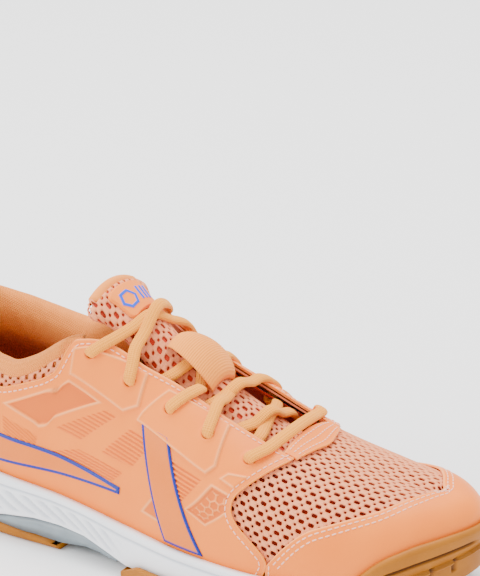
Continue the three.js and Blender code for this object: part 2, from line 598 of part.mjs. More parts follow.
// Over the tongue, on the first layer of lace (0) or on the second (1).
const above = (s, across, layer) => tongueAt(
  s, across, -3 * clearance - laceRadius - layer * (2 * laceRadius + 2 * clearance));
const [L, M] = [outerSide, innerQ];
const laceRoute = [
  beneath(L, 0.224, 0.56), beneath(L, 0.213, 0.66), ...outOf(L, 0), over(L, 0.207, 0.78), lip(L, 0.212),
  above(0.62, -0.4, 0), above(0.58, 0, 0), above(0.55, 0.4, 0),
  lip(M, 0.227), over(M, 0.229, 0.765), ...into(M, 1), beneath(M, 0.241, 0.73), edge(M, 0.248),
  above(0.43, 0.5, 0), above(0.39, 0, 0), above(0.35, -0.5, 0),
  lip(L, 0.271), over(L, 0.268, 0.755), ...into(L, 2), beneath(L, 0.275, 0.73), edge(L, 0.281),
  above(0.285, -0.6, 0.2), above(0.27, 0, 1), above(0.255, 0.5, 0.4),
  lip(M, 0.288), over(M, 0.291, 0.755), ...into(M, 3), beneath(M, 0.303, 0.73), edge(M, 0.307),
  above(0.185, 0.5, 0), above(0.165, 0, 0), above(0.14, -0.5, 0),
  edge(L, 0.321), beneath(L, 0.319, 0.72), ...outOf(L, 4), over(L, 0.333, 0.75), lip(L, 0.3345),
  above(0.105, -0.4, 0.6), above(0.1, 0, 0.8), above(0.105, 0.4, 0.6),
  lip(M, 0.3345), over(M, 0.333, 0.75), ...into(M, 4), beneath(M, 0.319, 0.72), edge(M, 0.318),
  above(0.15, 0.5, 0.2), above(0.165, 0, 1), above(0.18, -0.5, 0.2),
  edge(L, 0.308), beneath(L, 0.303, 0.73), ...outOf(L, 3), over(L, 0.291, 0.76), lip(L, 0.287),
  above(0.255, -0.5, 0), above(0.285, 0, 0), above(0.32, 0.5, 0),
  edge(M, 0.28), beneath(M, 0.273, 0.73), ...outOf(M, 2), over(M, 0.261, 0.755), lip(M, 0.26),
  above(0.365, 0.4, 0.4), above(0.39, 0, 1), above(0.415, -0.5, 0.2),
  edge(L, 0.249), beneath(L, 0.241, 0.73), ...outOf(L, 1), over(L, 0.229, 0.76), lip(L, 0.225),
  above(0.54, -0.4, 0.6), above(0.585, 0, 1), above(0.63, 0.4, 0.8),
  lip(M, 0.212), over(M, 0.207, 0.78), ...into(M, 0), beneath(M, 0.213, 0.66), beneath(M, 0.224, 0.56),
];

// A round tube along a smooth curve through the points, with a ring at each point and one more between
// points that lie far apart.
function tube(points, radius, sides) {
  const curve = new THREE.CatmullRomCurve3(points, false, "centripetal");
  const spans = points.length - 1;
  const params = points.flatMap((point, i) => {
    const far = i < spans && point.distanceTo(points[i + 1]) > 7;
    return far ? [i, i + 0.5] : [i];
  }).map((t) => t / spans);
  let side = null;
  const rings = params.map((t) => {
    const [centre, along] = [curve.getPoint(t), curve.getTangent(t)];
    side = (side ?? new THREE.Vector3(0, 0, 1).cross(along)).projectOnPlane(along).normalize();
    const up = along.clone().cross(side);
    return Array.from({ length: sides }, (_, k) => {
      const angle = (2 * Math.PI * k) / sides;
      return centre.clone().addScaledVector(side, radius * Math.cos(angle)).addScaledVector(up, radius * Math.sin(angle));
    });
  });
  return ringSolid(rings);
}
add("shoelace", tube(laceRoute, laceRadius, 8), 0xf3a85c, 0.8);
for (const [side, place] of [["lateral", L], ["medial", M]]) {
  const tip = [beneath(place, 0.2245, 0.552), beneath(place, 0.227, 0.51), beneath(place, 0.23, 0.46)];
  add(`aglet_${side}`, tube(tip, laceRadius + 0.1, 8), 0xf7b878, 0.3);
}

// ---------------------------------------------------------------- lace keeper

// Webbing sewn to the tongue at both ends. It stands clear of the lace that runs through it.
const keeperWebbing = 0.8;
const keeperArch = 7.9;
const keeperEnds = [0.328, 0.495]; // along the tongue
const keeperReach = 0.34; // to each side, as a share of the tongue's half width
const keeperRise = (s) => clearance + (keeperArch - clearance) * Math.sin(Math.PI * s) ** 0.6;
function keeper() {
  const place = (extra) => (s, t) => tongueAt(
    THREE.MathUtils.lerp(...keeperEnds, s), (2 * t - 1) * keeperReach, -keeperRise(s) - extra);
  return sheet(10, 3, place(0), place(keeperWebbing));
}
add("lace_keeper", keeper(), 0xf3b884, 0.85);

// ---------------------------------------------------------------- origin: middle of the shoe, on the ground

const box = new THREE.Box3().setFromObject(shoe, true);
const middle = box.getCenter(new THREE.Vector3());
shoe.position.set(-middle.x, -middle.y, -box.min.z);

export default shoe;
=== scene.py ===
import math

import bmesh
import bpy
import numpy as np
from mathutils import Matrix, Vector


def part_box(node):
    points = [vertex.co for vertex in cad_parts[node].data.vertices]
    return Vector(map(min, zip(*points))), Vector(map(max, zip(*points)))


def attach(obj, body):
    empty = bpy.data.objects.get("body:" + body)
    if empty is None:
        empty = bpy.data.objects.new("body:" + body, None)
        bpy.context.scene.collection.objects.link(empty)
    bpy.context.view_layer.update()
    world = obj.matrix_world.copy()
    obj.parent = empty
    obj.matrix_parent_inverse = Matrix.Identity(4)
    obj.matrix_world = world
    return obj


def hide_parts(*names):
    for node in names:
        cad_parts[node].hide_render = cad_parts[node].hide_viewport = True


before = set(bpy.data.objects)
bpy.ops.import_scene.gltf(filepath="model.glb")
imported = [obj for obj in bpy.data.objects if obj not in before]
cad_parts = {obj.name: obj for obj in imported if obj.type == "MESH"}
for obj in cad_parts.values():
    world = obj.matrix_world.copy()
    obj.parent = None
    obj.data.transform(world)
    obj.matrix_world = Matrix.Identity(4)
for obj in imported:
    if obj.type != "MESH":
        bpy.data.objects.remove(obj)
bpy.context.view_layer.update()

# A low indoor court shoe for the right foot, dressed piece by piece in the order that it is put together.
# Points are worked out in millimetres from the back of the last, and shifted into the model's own frame.

# ---------------------------------------------------------------- camera
# A long lens that looks down on the outer side of the shoe from in front. The heel pad, whose middle is a known
# way forward of the back of the last, ties the millimetres of this script to the model's own frame.
PAD_MIDDLE = 28
AZIMUTH, ELEVATION = 31.01, 20.56  # degrees
AIM, AWAY, LENS = (160.37, 0, 126.99), 1.18833, 171.85  # millimetres on the last, metres, millimetres
pad_low, pad_high = (np.array(corner) * 1000 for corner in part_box("heel_gel_pad"))
shift = np.append(((pad_low + pad_high) / 2)[:2] - (PAD_MIDDLE, 0), 0)
azimuth, elevation = math.radians(AZIMUTH), math.radians(ELEVATION)
backwards = Vector((
    math.sin(azimuth) * math.cos(elevation),
    -math.cos(azimuth) * math.cos(elevation),
    math.sin(elevation),
))
aim = Vector((np.array(AIM) + shift) / 1000)
camera = bpy.data.objects.new("camera", bpy.data.cameras.new("camera"))
camera.data.lens = LENS
camera.location = aim + AWAY * backwards
camera.rotation_euler = backwards.to_track_quat("Z", "Y").to_euler()
bpy.context.scene.collection.objects.link(camera)
bpy.context.scene.camera = camera

# ---------------------------------------------------------------- forefoot outsole
# Gum rubber moulded in one piece, cemented under the foam and turned up round the toe as a bumper.
# A slot and short nicks are moulded into the bumper's side, and a herringbone into the ground side.

# The last's sections from heel to toe: x, z, and y on the outer and on the inner side.
FEATHER = [
    (6, 24, 0, 0), (11, 24, -18, 18), (29, 23, -30, 29), (58, 21, -35, 33), (92, 18.5, -36, 30),
    (126, 15.5, -40, 31), (160, 12.5, -45, 38), (196, 12.5, -47, 44), (229, 16, -40, 44),
    (255, 23, -22, 35), (269, 28, 10, 10),
]
BELLY = [
    (-5, 46, 0, 0), (3, 46, -24, 24), (25, 45, -36, 35), (57, 44, -40, 38), (92, 44, -39, 33),
    (127, 44, -43, 34), (161, 42, -50, 42), (197, 40, -53, 50), (231, 40, -46, 50),
    (260, 42, -25, 40), (277, 43, 10, 10),
]
SHOULDER = [
    (0, 78, 0, 0), (5, 78, -18, 18), (26, 77, -29, 29), (57, 78, -33, 33), (95, 90, -36, 35),
    (132, 92, -38, 35), (165, 80, -38, 36), (198, 66, -34, 35), (230, 58, -27, 32),
    (256, 54, -14, 26), (270, 52, 9, 9),
]
RIDGE = [
    (20, 116, 0, 0), (24, 115, -13, 13), (36, 113, -21, 21), (60, 113, -26, 26), (104, 117, -12, 12),
    (140, 92, 0, 0), (170, 76, 0, 0), (198, 64, 1, 1), (224, 57, 3, 3), (243, 52, 6, 6), (252, 49, 8, 8),
]


def closed_line(rows):
    rows = np.array(rows, float)
    return np.vstack([rows[:, [0, 2, 1]], rows[-2:0:-1, [0, 3, 1]]])


last_lines = [closed_line(rows) for rows in (FEATHER, BELLY, SHOULDER, RIDGE)]


def spline(a, b, c, d, f):
    """The smooth way from b to c at a share f of it, with a and d as their neighbours."""
    return 0.5 * (2 * b + (c - a) * f + (2 * a - 5 * b + 4 * c - d) * f**2 + (3 * b - a - 3 * c + d) * f**3)


def last(q, v):
    """The last's surface: q runs round the foot from the heel, and v up the wall and over the ridge at 1."""
    q, v = np.broadcast_arrays(np.asarray(q, float), np.asarray(v, float))
    q, v = np.where(v > 1, 1 - q, q), np.where(v > 1, 2 - v, v)[..., None]
    place = (q % 1) * len(last_lines[0])
    i = np.floor(place).astype(int)
    f = (place - i)[..., None]
    low, belly, shoulder, ridge = (
        spline(*(line[(i + k) % len(line)] for k in (-1, 0, 1, 2)), f) for line in last_lines)
    u = 1 - v
    return u**3 * low + 3 * u * u * v * belly + 3 * u * v * v * shoulder + v**3 * ridge


def unit(vectors):
    return vectors / np.maximum(np.linalg.norm(vectors, axis=-1, keepdims=True), 1e-12)


def smooth(low, high, x):
    """A soft step from 0 at low to 1 at high."""
    t = np.clip((x - low) / (high - low), 0, 1)
    return t * t * (3 - 2 * t)


STEP = 0.004  # of q or v, to either side of a place, for the surface's slope there


def side_normal(q, v):
    up = last(q, np.minimum(v + STEP, 1)) - last(q, np.maximum(v - STEP, 0))
    return unit(np.cross(last(q + STEP, v) - last(q - STEP, v), up))


def last_normal(q, v):
    q, v = np.broadcast_arrays(np.asarray(q, float), np.asarray(v, float))
    q, v = np.where(v > 1, 1 - q, q), np.where(v > 1, 2 - v, v)
    share = np.where(abs(q - 0.5) < 0.25, smooth(0.9, 1, v), 0)[..., None] / 2
    return unit(side_normal(q, v) * (1 - share) + side_normal(1 - q, v) * share)


def on_last(q, v, offset):
    """A point off the last's surface by an offset in millimetres."""
    return last(q, v) + last_normal(q, v) * np.asarray(offset, float)[..., None]


def fold(q):
    """The same place on either side of the foot."""
    return np.minimum(abs(q), abs(1 - q))


def table(rows, place, soft=0.0):
    """A line of straight pieces through the rows, rounded off over a distance on each side."""
    xs, ys = zip(*rows)
    return sum(np.interp(place + soft * k, xs, ys) for k in (-1, -0.5, 0, 0.5, 1)) / 5


def from_feather(q, distance, z):
    """Out from the footbed's edge by a distance, at a height."""
    along = last(q + STEP, 0) - last(q - STEP, 0)
    out = unit(along[..., [1, 0, 2]] * (1, -1, 0))
    point = last(q, 0) + out * np.asarray(distance, float)[..., None]
    return np.concatenate([point[..., :2], np.broadcast_to(z, q.shape)[..., None]], -1)


def ground(x):
    return 6 * np.maximum(0, (20 - x) / 20) ** 2 + 20 * np.maximum(0, (x - 200) / 76) ** 2


def foam_bottom(x):
    """The foam's lower side: on the rubber at the heel and ball, and arched up over the shank."""
    arch = table([(45, 0), (60, 0.62), (76, 1), (92, 1.08), (106, 0.96), (118, 0.5), (130, 0)], x)
    return ground(x) + table([(45, 6.5), (132, 4)], x) + 0.3 + 7 * arch


def feather_height(q):
    return last(q, 0)[..., 2]


def is_toe(q):
    return smooth(0.375, 0.405, fold(q))


RIM = [
    (0, 38), (0.05, 37), (0.1, 34), (0.15, 31), (0.2, 27.5), (0.25, 23.5), (0.3, 20.5), (0.36, 20), (0.4, 23),
    (0.5, 29),
]


def rim_top(q):
    """The height of the foam's top edge, which dips to the footbed at the toe."""
    rim, toe = table(RIM, fold(q), 0.01), is_toe(q)
    return rim * (1 - toe) + (feather_height(q) - 0.3) * toe


AROUND_UPPER, FOAM_WALL = 2.0, 3.2


def wall_at(q, z):
    """The v at which the last's wall has risen to a height."""
    low, high = np.zeros_like(q), np.full_like(q, 0.9)
    for _ in range(24):
        middle = (low + high) / 2
        under = last(q, middle)[..., 2] < z
        low, high = np.where(under, middle, low), np.where(under, high, middle)
    return low


def upper_out(q, z):
    """How far out from the footbed's edge the lasted upper stands at a height."""
    away = from_feather(q, 1, 0) - from_feather(q, 0, 0)
    lean = ((last(q, wall_at(q, z)) - last(q, 0)) * away).sum(-1)
    return AROUND_UPPER + np.where(z <= feather_height(q), 0, lean)


def foam_out(q, z):
    """How far out the foam's side stands at a height."""
    bottom, top = foam_bottom(last(q, 0)[..., 0]), rim_top(q)
    share = np.clip((z - bottom) / (top - bottom), 0, 1)
    wall = AROUND_UPPER + FOAM_WALL + (upper_out(q, top) - AROUND_UPPER) * share + 1.2 * np.sin(np.pi * share)
    least = np.where(z > feather_height(q) - 0.3, upper_out(q, z) + 1, 0)
    toe = is_toe(q)
    return np.maximum(wall * (1 - toe) + 1.2 * toe, least)


def rubber_in(q, z):
    """The inner side of the rubber bumper, clear of the foam and of the upper above it."""
    under = z <= rim_top(q) + 1
    return np.where(under, np.maximum(foam_out(q, z) + 1.2, upper_out(q, z)), upper_out(q, z) + 0.3)


def grid(first, second):
    return np.meshgrid(first, second, indexing="ij")


def grid_faces(columns, rows, around=False, closed=False):
    """Faces of a grid of points. Around joins the last column to the first, and closed the last row."""
    i, j = grid(np.arange(columns if around else columns - 1), np.arange(rows if closed else rows - 1))
    next_i, next_j = (i + 1) % columns, (j + 1) % rows
    corners = [i * rows + j, next_i * rows + j, next_i * rows + next_j, i * rows + next_j]
    return np.stack(corners, -1).reshape(-1, 4)


def cap_faces(count):
    """Faces straight across a ring of points."""
    i = np.arange(count // 2 - 1)
    return np.stack([i, i + 1, count - 2 - i, count - 1 - i], -1)


def piece(name, points, faces, body, slot, finish, marks=None, uv=None, weld=0.0):
    """A named mesh from points in millimetres, turned the right way out, riding on its body."""
    points = np.asarray(points, float).reshape(-1, 3)
    faces = [tuple(int(k) for k in face) for face in faces]
    mesh = bpy.data.meshes.new(name)
    mesh.from_pydata(((points + shift) / 1000).tolist(), [], faces)
    for key, values in (marks or {}).items():
        mark = mesh.attributes.new(key, "FLOAT", "POINT")
        mark.data.foreach_set("value", np.asarray(values, float).ravel())
    if uv is not None:
        corners = np.array([k for face in faces for k in face])
        flat = np.asarray(uv, float).reshape(-1, 2)[corners]
        mesh.uv_layers.new(name="mm").uv.foreach_set("vector", flat.ravel())
    form = bmesh.new()
    form.from_mesh(mesh)
    if weld:
        bmesh.ops.remove_doubles(form, verts=form.verts, dist=weld / 1000)
    if form.calc_volume(signed=True) < 0:
        bmesh.ops.reverse_faces(form, faces=form.faces)
    for face in form.faces:
        face.smooth = True
    form.to_mesh(mesh)
    form.free()
    made = bpy.data.objects.new(name, mesh)
    bpy.context.scene.collection.objects.link(made)
    mesh.materials.append(finish.material)
    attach(made, body)
    return made


def rings_piece(name, rings, floor_rows, relief, *rest, **more):
    """A solid lofted through rings, its ground side a grid with a relief and its top closed straight across."""
    rings = np.array(rings)
    count = rings.shape[1]
    half = count // 2
    faces = [grid_faces(count, len(rings), around=True)]
    points = [rings.transpose(1, 0, 2).reshape(-1, 3)]
    t = np.linspace(0, 1, floor_rows)[None, :, None]
    under = rings[0][:half, None] * (1 - t) + rings[0][::-1][:half, None] * t
    if relief is not None:
        inner = np.minimum(*(np.linalg.norm(under - side, axis=-1) for side in (under[:, :1], under[:, -1:])))
        under[..., 2] += relief(under[..., 0], under[..., 1]) * smooth(1.5, 3, inner)
    faces.append(grid_faces(half, floor_rows)[:, ::-1] + len(points[0]))
    points.append(under.reshape(-1, 3))
    faces.append(cap_faces(count) * len(rings) + len(rings) - 1)
    return piece(name, np.vstack(points), np.vstack(faces), *rest, weld=0.01, **more)


class Wire:
    """A shader socket that takes part in sums."""

    def __init__(self, tree, socket):
        self.tree, self.socket = tree, socket

    def math(self, operation, *values):
        node = self.tree.nodes.new("ShaderNodeMath")
        node.operation = operation
        for socket, value in zip(node.inputs, values):
            plug(self.tree, socket, value)
        return Wire(self.tree, node.outputs[0])

    def __add__(self, other):
        return self.math("ADD", self, other)

    def __sub__(self, other):
        return self.math("SUBTRACT", self, other)

    def __rsub__(self, other):
        return self.math("SUBTRACT", other, self)

    def __mul__(self, other):
        return self.math("MULTIPLY", self, other)

    __radd__, __rmul__ = __add__, __mul__

    def sine(self):
        return self.math("SINE", self)


def plug(tree, socket, value):
    if isinstance(value, Wire):
        tree.links.new(value.socket, socket)
    else:
        socket.default_value = value


def tint(code, alpha=1.0):
    """A colour from its usual six digits, in linear light."""
    parts = [int(code[k:k + 2], 16) / 255 for k in (1, 3, 5)]
    return (*(c / 12.92 if c <= 0.04045 else ((c + 0.055) / 1.055) ** 2.4 for c in parts), alpha)


class Finish:
    """A node material round one Principled shader."""

    def __init__(self, name, **fixed):
        self.material = bpy.data.materials.new(name)
        self.material.use_nodes = True
        self.tree = self.material.node_tree
        self.shader = self.tree.nodes["Principled BSDF"]
        for key, value in fixed.items():
            self.shader.inputs[key.replace("_", " ")].default_value = value

    def node(self, kind, settings=None, output=0, inputs=None):
        """Any other node, from its type, its settings, and the values or links of its sockets."""
        node = self.tree.nodes.new("ShaderNode" + kind)
        for key, value in (settings or {}).items():
            setattr(node, key, value)
        for key, value in (inputs or {}).items():
            plug(self.tree, node.inputs[key], value)
        return Wire(self.tree, node.outputs[output])

    def place(self):
        """Millimetres in the piece's own space."""
        at = self.node("TexCoord", output="Object")
        return self.node("VectorMath", {"operation": "SCALE"}, inputs={0: at, "Scale": 1000})

    def noise(self, scale, detail=2.0, vector=None):
        return self.node("TexNoise", inputs={
            "Vector": vector or self.place(), "Scale": scale, "Detail": detail})

    def split(self, vector):
        return (self.node("SeparateXYZ", output=k, inputs={0: vector}) for k in (0, 1))

    def mix(self, factor, one, other):
        return self.node("Mix", {"data_type": "RGBA"}, output=2, inputs={0: factor, 6: one, 7: other})

    def stretched(self, by):
        """The piece's UV map, which is in millimetres, with each direction scaled."""
        at = self.node("UVMap", {"uv_map": "mm"})
        return self.node("VectorMath", {"operation": "MULTIPLY"}, inputs={0: at, 1: by})

    def mark(self, name):
        """A value painted on the piece's points."""
        return self.node("Attribute", {"attribute_name": name}, output="Fac")

    def dress(self, colour=None, roughness=None, height=None, depth=0.1):
        if colour is not None:
            plug(self.tree, self.shader.inputs["Base Color"], colour)
        if roughness is not None:
            plug(self.tree, self.shader.inputs["Roughness"], roughness)
        if height is not None:
            bump = self.node("Bump", inputs={"Strength": 1.0, "Distance": depth / 1000, "Height": height})
            plug(self.tree, self.shader.inputs["Normal"], bump)
        return self


def gum_rubber(name):
    finish = Finish(name, Coat_Weight=0.03, Coat_Roughness=0.4, Specular_IOR_Level=0.22)
    cloudy = finish.noise(0.07, 3)
    grain = finish.noise(2.2, 3)
    warm = finish.mix(cloudy, tint("#8E5004"), tint("#AE6C0A"))
    # Painted shade: the slot and nicks, marked slot, are painted dark brown for the shade in the grooves.
    painted_shade = finish.mark("slot")
    return finish.dress(finish.mix(painted_shade, warm, tint("#4E2806")), 0.5 + grain * 0.12, grain, 0.05)


gum = gum_rubber("gum_rubber")
BUMPER = [
    (0.257, 9), (0.28, 8), (0.36, 9), (0.39, 13), (0.41, 20), (0.42, 27), (0.432, 33), (0.452, 37.5), (0.475, 39.5),
    (0.5, 40),
]
RUBBER_WALL = 2.6
FOREFOOT_REAR = 0.2555
NICKS = [0.395, 0.414, 0.431, 0.447, 0.463, 0.478]
TREAD_DEEP, ZIGZAG_PITCH, PIVOT_PITCH, PIVOT_RADIUS = 1.5, 5.2, 4.4, 17.5


def herringbone(x, y):
    """Grooves in the tread with a ringed pivot circle under the ball, as a rise of the ground side."""
    zigzag = x + 2.6 * abs((y / 7) % 2 - 1) * 2
    grooves = smooth(0.55, 0.8, abs((zigzag / ZIGZAG_PITCH) % 1 - 0.5) * 2)
    pivot = np.hypot(x - 212, (y + 2) * 0.9)
    rings = smooth(0.4, 0.7, abs((pivot / PIVOT_PITCH) % 1 - 0.5) * 2)
    return TREAD_DEEP * np.where(pivot < PIVOT_RADIUS, rings, np.where(pivot < PIVOT_RADIUS + 2, 1, grooves))


def forefoot_rings():
    """The rubber's rings from the ground up its side and down inside it, and the painted shade at each point, dark in
    the slot and nicks.
    """
    q = FOREFOOT_REAR + (np.arange(360) + 0.5) / 360 * (1 - 2 * FOREFOOT_REAR)
    x = last(q, 0)[..., 0]
    floor = ground(x) + 4
    rise = np.maximum(0.01, smooth(FOREFOOT_REAR, 0.272, fold(q)))
    top = floor + rise * np.maximum(table(BUMPER, fold(q), 0.006) - floor, 2)
    painted_shade, rings = [], []

    def ring(inset, height):
        rings.append(from_feather(q, rubber_in(q, np.maximum(floor, height)) + RUBBER_WALL - inset, height))
        painted_shade.append(np.zeros_like(q))

    for inset, height in ((RUBBER_WALL, 0), (1.2, 0.35), (0.3, 1.2), (0, 2.2)):
        ring(inset, ground(x) + height)
    slot_ends = smooth(0.402, 0.408, fold(q)) * (1 - smooth(0.488, 0.494, fold(q)))
    nicks = sum(np.exp(-(((fold(q) - at) / 0.0011) ** 4)) for at in NICKS)
    for share in np.linspace(0.04, 0.9, 44):
        z = floor + (top - floor) * share
        slot = slot_ends * np.exp(-(((share - 0.66) * np.maximum(top - floor, 6) / 0.75) ** 4))
        slot = np.maximum(slot, nicks * smooth(0.12, 0.16, share) * (1 - smooth(0.42, 0.46, share)))
        ring(1.5 * slot, z)
        # The slot's depth is also its painted shade.
        painted_shade[-1] = slot
    inner = [(share, RUBBER_WALL) for share in (0.99, 0.65, 0.3, 0)]
    for share, inset in ((0.95, 0.35), (0.985, 1.0), (1.0, 1.9), *inner):
        ring(inset, floor + (top - floor) * share)
    rings.append(from_feather(q, 0.5, floor))
    painted_shade.append(np.zeros_like(q))
    return rings, painted_shade


def sole_marks(rings, painted_shade, floor_rows):
    """The painted shade of the rings' points, with none on the ground side."""
    half = rings[0].shape[0] // 2
    return {"slot": np.concatenate([np.array(painted_shade).T.ravel(), np.zeros(half * floor_rows)])}


rings, painted_shade = forefoot_rings()
outsole_fore = rings_piece(
    "forefoot_outsole", rings, 90, herringbone, "shoe", "gum_rubber", gum, marks=sole_marks(rings, painted_shade, 90))
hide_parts("outsole_forefoot")

# ---------------------------------------------------------------- heel outsole
# A separate plate of the same gum rubber with the same tread, under the heel. It is moulded with a rounded lower
# edge and a bevel at the back, and cemented to the foam.
HEEL_REACH = 0.197
HEEL_EDGE = [(2.5, 0), (1.4, 0.4), (0.6, 1.1), (0.1, 2), (0, 2.6), (0.12, 3), (0, 3.5), (0, 4.5), (0, 99)]


def heel_top(x):
    return ground(x) + table([(45, 6.5), (90, 2.5)], x)


q = (2 * (np.arange(200) + 0.5) / 200 - 1) * HEEL_REACH
x = last(q, 0)[..., 0]
side = AROUND_UPPER + FOAM_WALL - 0.6
rings = [
    from_feather(q, side - inset, ground(x) + np.minimum(rise, heel_top(x) - ground(x)))
    for inset, rise in HEEL_EDGE]
outsole_heel = rings_piece(
    "heel_outsole", rings, 70, herringbone, "shoe", "gum_rubber", gum,
    marks=sole_marks(rings, [np.zeros_like(q)] * len(rings), 70))
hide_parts("outsole_heel")

# ---------------------------------------------------------------- midsole
# Moulded white foam that carries the whole upper and is cemented round its lower edge. It has a rolled top edge
# over a fine line, and slanting flutes pressed in along the heel and arch.
FLUTE_PITCH, FLUTE_DEEP = 9, 1.3


def white_foam(name):
    finish = Finish(name, Specular_IOR_Level=0.4)
    pores = finish.noise(3.0, 4)
    soft = finish.noise(0.05, 2)
    white = finish.mix(soft, tint("#E4E7EC"), tint("#F4F6F9"))
    # Painted shade: the flutes and the fine line, marked slot, are painted grey-blue for the shade in them.
    return finish.dress(
        finish.mix(finish.mark("slot"), white, tint("#8C97A8")), 0.55 + pores * 0.15, pores, 0.035)


def midsole_rings():
    """The foam's rings from its lower side up the wall and down inside it, and the painted shade at each point, in
    the flutes and the fine line.
    """
    q = (np.arange(420) + 0.5) / 420
    x = last(q, 0)[..., 0]
    bottom, top = foam_bottom(x), rim_top(q)
    board_bottom = feather_height(q) - 2.4
    rings = [from_feather(q, 0, bottom), from_feather(q, foam_out(q, bottom) - 1.2, bottom)]
    flute_zone = smooth(0.03, 0.07, fold(q)) * (1 - smooth(0.235, 0.26, fold(q)))
    painted_shade = [np.zeros_like(q)] * 2
    for share in np.concatenate([np.linspace(0.03, 0.97, 48), [0.99, 1.0]]):
        z = bottom + (top - bottom) * share
        roll = 0.55 * smooth(0.8, 0.9, share) - 1.3 * smooth(0.96, 1, share) ** 2
        wave = 0.5 + 0.5 * np.cos(2 * np.pi * (x + 26 * share) / FLUTE_PITCH)
        ends = smooth(0.12, 0.2, share) * (1 - smooth(0.62, 0.74, share))
        flutes = -FLUTE_DEEP * flute_zone * ends * wave**2
        line = -0.5 * np.exp(-(((share - 0.79) * (top - bottom) / 0.55) ** 2)) * (1 - is_toe(q))
        relief = (roll + flutes + line) * (1 - is_toe(q)) - 0.6 * (share < 0.05)
        rings.append(from_feather(q, foam_out(q, z) + relief, z))
        # Painted shade in the flutes and the fine line, as deep as they are.
        painted_shade.append(np.clip(-flutes * 0.35 - line * 1.1, 0, 0.6))
    for share in (1, 0.5, 0):
        z = board_bottom + (top - board_bottom) * share
        rings.append(from_feather(q, np.where(top > feather_height(q), upper_out(q, z), -1.5), z))
        painted_shade.append(np.zeros_like(q))
    return rings, painted_shade


rings, painted_shade = midsole_rings()
midsole = rings_piece(
    "midsole_foam", rings, 12, None, "shoe", "midsole_foam", white_foam("midsole_foam"),
    marks=sole_marks(rings, painted_shade, 12))
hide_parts("midsole")

# ---------------------------------------------------------------- shank
# A stiff grey plastic plate that bridges the arch, with seven ribs moulded along its underside. It is cemented
# under the foam, and its ends are held between the foam and the two rubbers.
SHANK_REAR, SHANK_FRONT, SHANK_OUT, RIBS = 0.1385, 0.2475, 3.4, 7


def grey_plastic(name):
    finish = Finish(name, Specular_IOR_Level=0.5)
    fine = finish.noise(4.0, 2)
    grey = finish.mix(finish.noise(0.1), tint("#6E7A80"), tint("#8A959A"))
    return finish.dress(grey, 0.32 + fine * 0.1, fine, 0.02)


def slab(outer, inner):
    """The points and faces of two grids joined along their edges."""
    columns, rows = outer.shape[:2]
    face = grid_faces(columns, rows)
    loop = np.concatenate([
        np.arange(columns) * rows, (columns - 1) * rows + np.arange(1, rows),
        np.arange(columns - 2, -1, -1) * rows + rows - 1, np.arange(rows - 2, 0, -1)])
    after, count = np.roll(loop, -1), columns * rows
    rim = np.stack([after, loop, loop + count, after + count], -1)
    points = np.concatenate([outer.reshape(-1, 3), inner.reshape(-1, 3)])
    return points, np.vstack([face, face[:, ::-1] + count, rim])


def both_faces(values):
    """The same values on the two faces of a slab."""
    return np.concatenate([values.reshape(-1, *values.shape[2:])] * 2)


def across_footbed(q, share, out, height):
    """Straight over from the footbed's outer edge to its inner one, at a distance out from both."""
    share = share[..., None]
    return from_feather(q, out, height) * (1 - share) + from_feather(1 - q, out, height) * share


s, t = grid(np.linspace(0, 1, 90), np.linspace(0, 1, 40))
bed = across_footbed(SHANK_REAR + (SHANK_FRONT - SHANK_REAR) * s, t, SHANK_OUT, 0)
x = 46 + 77 * s
on_heel = np.where(x < 92, heel_top(x) + 0.3, 0)
under = np.maximum(on_heel, table([(60, 4.2), (90, 3.4), (105, 5.6), (123, 4.6)], x))
ribs = 0.8 * smooth(0.3, 0.6, abs((t * RIBS) % 1 - 0.5) * 2) * smooth(0.3, 0.4, s) * (1 - smooth(0.85, 0.95, s))
bed[..., 0] = x
over = np.maximum(foam_bottom(x) - 0.75, under + 0.4)
lower, upper = bed.copy(), bed.copy()
lower[..., 2], upper[..., 2] = under + np.minimum(ribs, (over - under) * 0.6), over
shank = piece("arch_shank", *slab(upper, lower), "shoe", "shank_plastic", grey_plastic("shank_plastic"))
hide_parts("midfoot_shank")

# ---------------------------------------------------------------- hidden inner pieces
# The fibre board, the gel pad in the foam, the toe and heel stiffeners and the woven eyestay tapes are plain cut
# sheets, cemented or fused under the lining and panels. They keep their plain shapes and get a finish each.


def plain_sheet(name, low, high, rough, scale):
    finish = Finish(name)
    fibres = finish.noise(scale, 3)
    return finish.dress(finish.mix(fibres, tint(low), tint(high)), rough + fibres * 0.1, fibres, 0.06)


for nodes, finish in (
        (["lasting_board"], plain_sheet("fibre_board", "#C9BFA9", "#E0D8C6", 0.8, 1.5)),
        (["heel_gel_pad"], plain_sheet("blue_gel", "#4A93C4", "#6FB4E2", 0.2, 0.2)),
        (["heel_stiffener", "toe_puff"], plain_sheet("fused_stiffener", "#DDD7C8", "#EFEADF", 0.6, 1.0)),
        (["eyestay_tape_lateral", "eyestay_tape_medial"], plain_sheet("woven_tape", "#B85A34", "#D8805A", 0.8, 2.5))):
    for node in nodes:
        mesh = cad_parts[node].data
        mesh.materials.clear()
        mesh.materials.append(finish.material)

# ---------------------------------------------------------------- vamp and quarter linings
# Thin rust knit, cut to the panels' shape and lasted with them, that backs the mesh and the quarters. It shows
# dark through the mesh's holes.


def lining_knit(name, low, high):
    finish = Finish(name, Sheen_Weight=0.25, Sheen_Roughness=0.5, Specular_IOR_Level=0.2)
    along, up = finish.split(finish.stretched((6.3, 6.3, 0)))
    loops = (along + up.sine() * 0.7).sine() * (up * 0.8).sine()
    fine = finish.noise(3.0, 3)
    return finish.dress(
        finish.mix(loops * 0.35 + fine * 0.6, tint(low), tint(high)), 0.85, loops + fine * 0.8, 0.12)


def edge_value(edge, place):
    """A patch's edge from a function, a table or a plain number."""
    if callable(edge):
        return edge(place)
    return table(edge, place, 0.004) if isinstance(edge, list) else np.full_like(place, edge)


